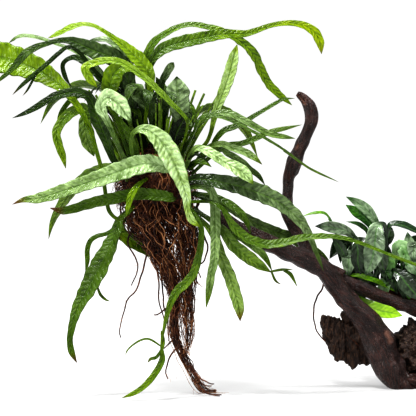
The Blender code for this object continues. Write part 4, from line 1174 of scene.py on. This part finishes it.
class StageSettings(bpy.types.PropertyGroup):
    elevation: bpy.props.FloatProperty(
        name="Camera elevation", description="Camera angle above the horizon", default=math.radians(7),
        subtype="ANGLE")
    lens: bpy.props.FloatProperty(name="Lens", description="Focal length in millimetres", default=900.0)
    field: bpy.props.FloatProperty(
        name="Field width", description="Width of the view at the origin's depth", default=0.416,
        unit="LENGTH")


# ---------------------------------------------------------------------------------------------
# One operator for each group of pieces

def grow_leaves(tones_by_node, blades, material, settings):
    """Builds the leaves that lie over solids, and then the leaves that have none."""
    for node, tones in tones_by_node.items():
        piece = build_blade(node + "_blade", read_blade(node), tones, material, settings)
        finish_piece(piece, [node])
    for name, facing, tones, points in blades:
        piece = build_blade(name, blade_from_points(points, facing), tones, material, settings)
        finish_piece(piece)


def named_blades(prefix, blades):
    return [(f"{prefix}_{k:02d}", facing, tones, points) for k, (points, facing, tones) in enumerate(blades)]


class PLANT_OT_fern_leaves(bpy.types.Operator):
    """Builds every fern leaf over its solid, and the small leaves between them"""
    bl_idname = "plant.fern_leaves"
    bl_label = "Fern leaves"

    def execute(self, context):
        values = context.scene.fern_settings
        material = leaf_material(
            "java_fern_leaf", [(0.06, "#091502"), (0.28, "#203803"), (0.5, "#456103"), (0.7, "#708c05"),
                               (0.88, "#9eb30b"), (1.0, "#bec914")],
            gloss=0.13, shine=0.28, relief=0.85, vein_mm=5.5, bloom_and_sheen_colour=values.pale, rib_colour="#4d6e1c")
        settings = {"step": values.blade_step, "ripple": values.ripple, "blister": values.blister,
                    "columns": 15, "wave": 19 * MM, "notch": 0.04, "vein": 5.5 * MM}
        rng = np.random.default_rng(5)
        tuft = named_blades("tuft_leaf", tuft_blades(values.tuft_count, rng))
        grow_leaves(FERN_TONES, list(SMALL_FERN_BLADES_MM) + tuft, material, settings)
        stalks = fibres("tuft_petioles", petiole_paths(values.petiole_count, rng), petiole_material(), 8)
        finish_piece(stalks)
        return {"FINISHED"}


class PLANT_OT_broad_plant(bpy.types.Operator):
    """Builds the broad-leaved plant: its leaves, stalks and creeping stem"""
    bl_idname = "plant.broad_plant"
    bl_label = "Broad-leaved plant"

    def execute(self, context):
        values = context.scene.fern_settings
        material = leaf_material(
            "broad_leaf_cuticle", [(0.0, "#040e05"), (0.25, "#0c260d"), (0.45, "#1c4412"), (0.65, "#3f7416"),
                                   (0.85, "#7cac18"), (1.0, "#9cc824")],
            gloss=0.08, shine=0.5, relief=0.3, vein_mm=4.5, bloom_and_sheen_colour="#bdd6ae", rib_colour="#4d7a34")
        settings = {"step": values.blade_step, "ripple": 0.02, "blister": values.blister * 0.35,
                    "columns": 15, "wave": 22 * MM, "notch": 0.01, "vein": 4.5 * MM}
        bush = named_blades("bush_leaf", bush_blades(values.bush_count, np.random.default_rng(3)))
        grow_leaves(BROAD_TONES, list(SMALL_BROAD_BLADES_MM) + bush, material, settings)
        stem = build_limb("broad_plant_stem_bark", STEM_MM, bpy.data.materials["fern_root_fibre"],
                          {"step": 1.6 * MM, "sides": 32})
        finish_piece(stem, ["broad_plant_stem"])
        return {"FINISHED"}


class PLANT_OT_roots(bpy.types.Operator):
    """Builds the rhizome ball and the hanging roots as bundles of fine fibres"""
    bl_idname = "plant.roots"
    bl_label = "Roots"

    def execute(self, context):
        values = context.scene.root_settings
        material = root_material()
        rng = np.random.default_rng(11)
        ball = weathered("rhizome_ball", merged_copy("fern_rhizome_ball"), material, voxel=1.4 * MM,
                         rough=5.0 * MM, stretch=np.array([8, 8, 12]) * MM, shift=-0.5)
        set_attribute(ball.data, "young", np.zeros(len(ball.data.vertices)))
        finish_piece(ball, ["fern_rhizome_ball"])
        for name, node, points, count in (
                ("root_bundle_left", "fern_roots_left", BUNDLE_LEFT_MM, values.left_count),
                ("root_bundle_right", "fern_roots_right", BUNDLE_RIGHT_MM, values.right_count)):
            paths = bundle_paths(points, count, rng)
            paths += hair_paths(paths, values.hair_count, rng, (4, 14), 0.3)
            finish_piece(fibres(name, paths, material, 5), [node])
        finish_piece(fibres("root_curtain", curtain_paths(values.curtain_count, rng), material, 5))
        finish_piece(fibres("rhizome_fuzz", fuzz_paths(values.fuzz_count, rng), material, 5))
        strays = [path_through(points, 1.05, 0.55) for points in STRAYS_MM]
        strays += hair_paths(strays, 70, rng, (3, 9), 0.4)
        finish_piece(fibres("root_strays", strays, material, 5), ["fern_root_strand"])
        thin = [path_through(THIN_ROOT_MM, 0.95, 0.7), path_through(BARK_ROOT_MM, 0.6, 0.5)]
        finish_piece(fibres("wood_thin_roots", thin, material, 6))
        return {"FINISHED"}


class PLANT_OT_driftwood(bpy.types.Operator):
    """Builds the limbs of the driftwood"""
    bl_idname = "plant.driftwood"
    bl_label = "Driftwood limbs"

    def execute(self, context):
        values = context.scene.wood_settings
        material = wood_material("soaked_driftwood", values.torn_colour)
        settings = {"step": values.ring_step, "sides": values.sides}
        limb = build_limb("driftwood_limb_grain", LIMB_MM[1:], material, settings,
                          knots=[(0.18, 4.6, 6, 1.4), (0.33, 3.4, 6, 1.2), (0.46, 5.4, 7, 1.4),
                                 (0.55, 4.2, 6, 1.2), (0.76, 3.6, 8, 3.0), (0.86, 4.9, 10, 2.2)],
                          torn=[(0.735, 0.785, 3.9, 0.3)])
        finish_piece(limb, ["driftwood_limb"])
        hook = build_limb("driftwood_hook_grain", HOOK_MM, material, settings,
                          knots=[(0.24, 4.0, 5, 1.2), (0.38, 5.0, 5, 1.0), (0.52, 4.4, 6, 1.5),
                                 (0.60, 0.4, 6, 2.0), (0.64, 4.6, 5, 1.3), (0.74, 3.3, 5, 1.2),
                                 (0.83, 4.8, 5, 1.2), (0.92, 5.6, 5, 1.0)],
                          torn=[(0.93, 1.01, 4.2, 0.45), (0.70, 0.735, 4.0, 0.35)], tip_tear=0.06)
        finish_piece(hook, ["driftwood_hook_branch"])
        rear = build_limb("driftwood_rear_grain", REAR_MM, material, settings,
                          knots=[(0.2, 5.2, 6, 1.2), (0.5, 1.4, 7, 1.4)])
        finish_piece(rear, ["driftwood_rear_limb"])
        runner = build_limb("driftwood_runner_grain", RUNNER_MM, material, settings, depth=1.2)
        finish_piece(runner, ["driftwood_runner"])
        return {"FINISHED"}


class PLANT_OT_bark(bpy.types.Operator):
    """Builds the bark slabs, the crumbling heart and the grit on it"""
    bl_idname = "plant.bark"
    bl_label = "Bark and heart"

    def execute(self, context):
        bark = bark_material()
        wear = {"voxel": 0.8 * MM, "rough": 2.6 * MM}
        for name, node in (("bark_left", "bark_slab_left"), ("bark_right", "bark_slab_right")):
            slab = weathered(name, merged_copy(node), bark, stretch=np.array([5, 5, 13]) * MM, **wear)
            finish_piece(slab, [node])
        for name, low, high in BARK_SCRAPS_MM:
            scrap = weathered(name, box_shape(low, high), bark, stretch=np.array([5, 5, 11]) * MM, **wear)
            finish_piece(scrap)
        heart = weathered("rough_heart", merged_copy("driftwood_rough_heart"), heart_material(),
                          voxel=1.2 * MM, rough=6.0 * MM, stretch=np.array([10, 10, 10]) * MM, shift=0.15)
        finish_piece(heart, ["driftwood_rough_heart"])
        grit = link_object("heart_grit", heart.data.copy())
        tree, ids = grit_tree()
        apply_tree(grit, tree, ids, {"Grains per square metre": 70000.0, "Grain radius": 0.0006, "Seed": 4,
                                     "Material": grit_material()})
        for vertex in grit.data.vertices:
            vertex.co.z = max(vertex.co.z, 0.0)
        finish_piece(grit)
        return {"FINISHED"}


class PLANT_OT_stage(bpy.types.Operator):
    """Sets up the pale floor, the soft lights, the surroundings and the camera"""
    bl_idname = "plant.stage"
    bl_label = "Stage"

    def execute(self, context):
        scene = context.scene
        values = scene.stage_settings
        corners = [(x * FLOOR_REACH, y * FLOOR_REACH, 0) for x, y in ((-1, -1), (1, -1), (1, 1), (-1, 1))]
        floor = make_object("paper_floor", corners, [(0, 1, 2, 3)], floor_material(), False)
        world = bpy.data.worlds.new("white_studio")
        world.use_nodes = True
        background = world.node_tree.nodes["Background"]
        background.inputs["Color"].default_value = (1, 1, 1, 1)
        background.inputs["Strength"].default_value = 0.4
        scene.world = world
        scene.view_settings.view_transform = "Standard"
        scene.view_settings.look = "High Contrast"
        add_light("sky_sun", "SUN", (-0.5, -0.5, 1.6), (-0.15, 0, 0.1), math.radians(8), 2.7)
        add_light("top_softbox", "AREA", (-0.3, 0.2, 1.35), (-0.2, 0, 0.15), 0.9, 14)
        add_light("front_softbox", "AREA", (-1.1, -1.3, 0.9), (-0.2, 0, 0.2), 0.5, 8)

        tilt = values.elevation
        camera = bpy.data.cameras.new("camera")
        camera.lens = values.lens
        camera.sensor_width = 36
        distance = values.field * camera.lens / camera.sensor_width
        middle = Vector((-0.192, 0, 0.180 / math.cos(tilt)))
        away = Vector((0, -math.cos(tilt), math.sin(tilt)))
        camera.clip_end = 100
        holder = link_object("camera", camera)
        holder.location = middle + away * distance
        holder.rotation_euler = (math.pi / 2 - tilt, 0, 0)
        scene.camera = holder
        return {"FINISHED"}


def add_light(name, kind, place, target, size, power):
    """A light at place that points at target: size is an area light's side or a sun's angle."""
    light = bpy.data.lights.new(name, kind)
    if kind == "SUN":
        light.angle = size
    else:
        light.size = size
    light.energy = power
    holder = link_object(name, light)
    holder.location = place
    holder.rotation_euler = (Vector(target) - Vector(place)).to_track_quat("-Z", "Y").to_euler()


class PLANT_PT_panel(bpy.types.Panel):
    bl_label = "Driftwood Fern"
    bl_idname = "PLANT_PT_panel"
    bl_space_type = "VIEW_3D"
    bl_region_type = "UI"
    bl_category = "Driftwood Fern"

    def draw(self, context):
        scene = context.scene
        for group in (scene.fern_settings, scene.wood_settings, scene.root_settings, scene.stage_settings):
            for key in group.bl_rna.properties.keys():
                if key not in ("rna_type", "name"):
                    self.layout.prop(group, key)
        for operator in OPERATORS:
            self.layout.operator(operator.bl_idname)


OPERATORS = (PLANT_OT_stage, PLANT_OT_roots, PLANT_OT_driftwood, PLANT_OT_bark, PLANT_OT_broad_plant,
             PLANT_OT_fern_leaves)
GROUPS = (("fern_settings", FernSettings), ("wood_settings", WoodSettings), ("root_settings", RootSettings),
          ("stage_settings", StageSettings))


def register():
    for name, group in GROUPS:
        bpy.utils.register_class(group)
        setattr(bpy.types.Scene, name, bpy.props.PointerProperty(type=group))
    for operator in OPERATORS:
        bpy.utils.register_class(operator)
    bpy.utils.register_class(PLANT_PT_panel)


def unregister():
    bpy.utils.unregister_class(PLANT_PT_panel)
    for operator in reversed(OPERATORS):
        bpy.utils.unregister_class(operator)
    for name, group in reversed(GROUPS):
        delattr(bpy.types.Scene, name)
        bpy.utils.unregister_class(group)


def main():
    register()
    bpy.ops.plant.stage()
    bpy.ops.plant.roots()
    bpy.ops.plant.driftwood()
    bpy.ops.plant.bark()
    bpy.ops.plant.broad_plant()
    bpy.ops.plant.fern_leaves()


if __name__ == "__main__":
    main()
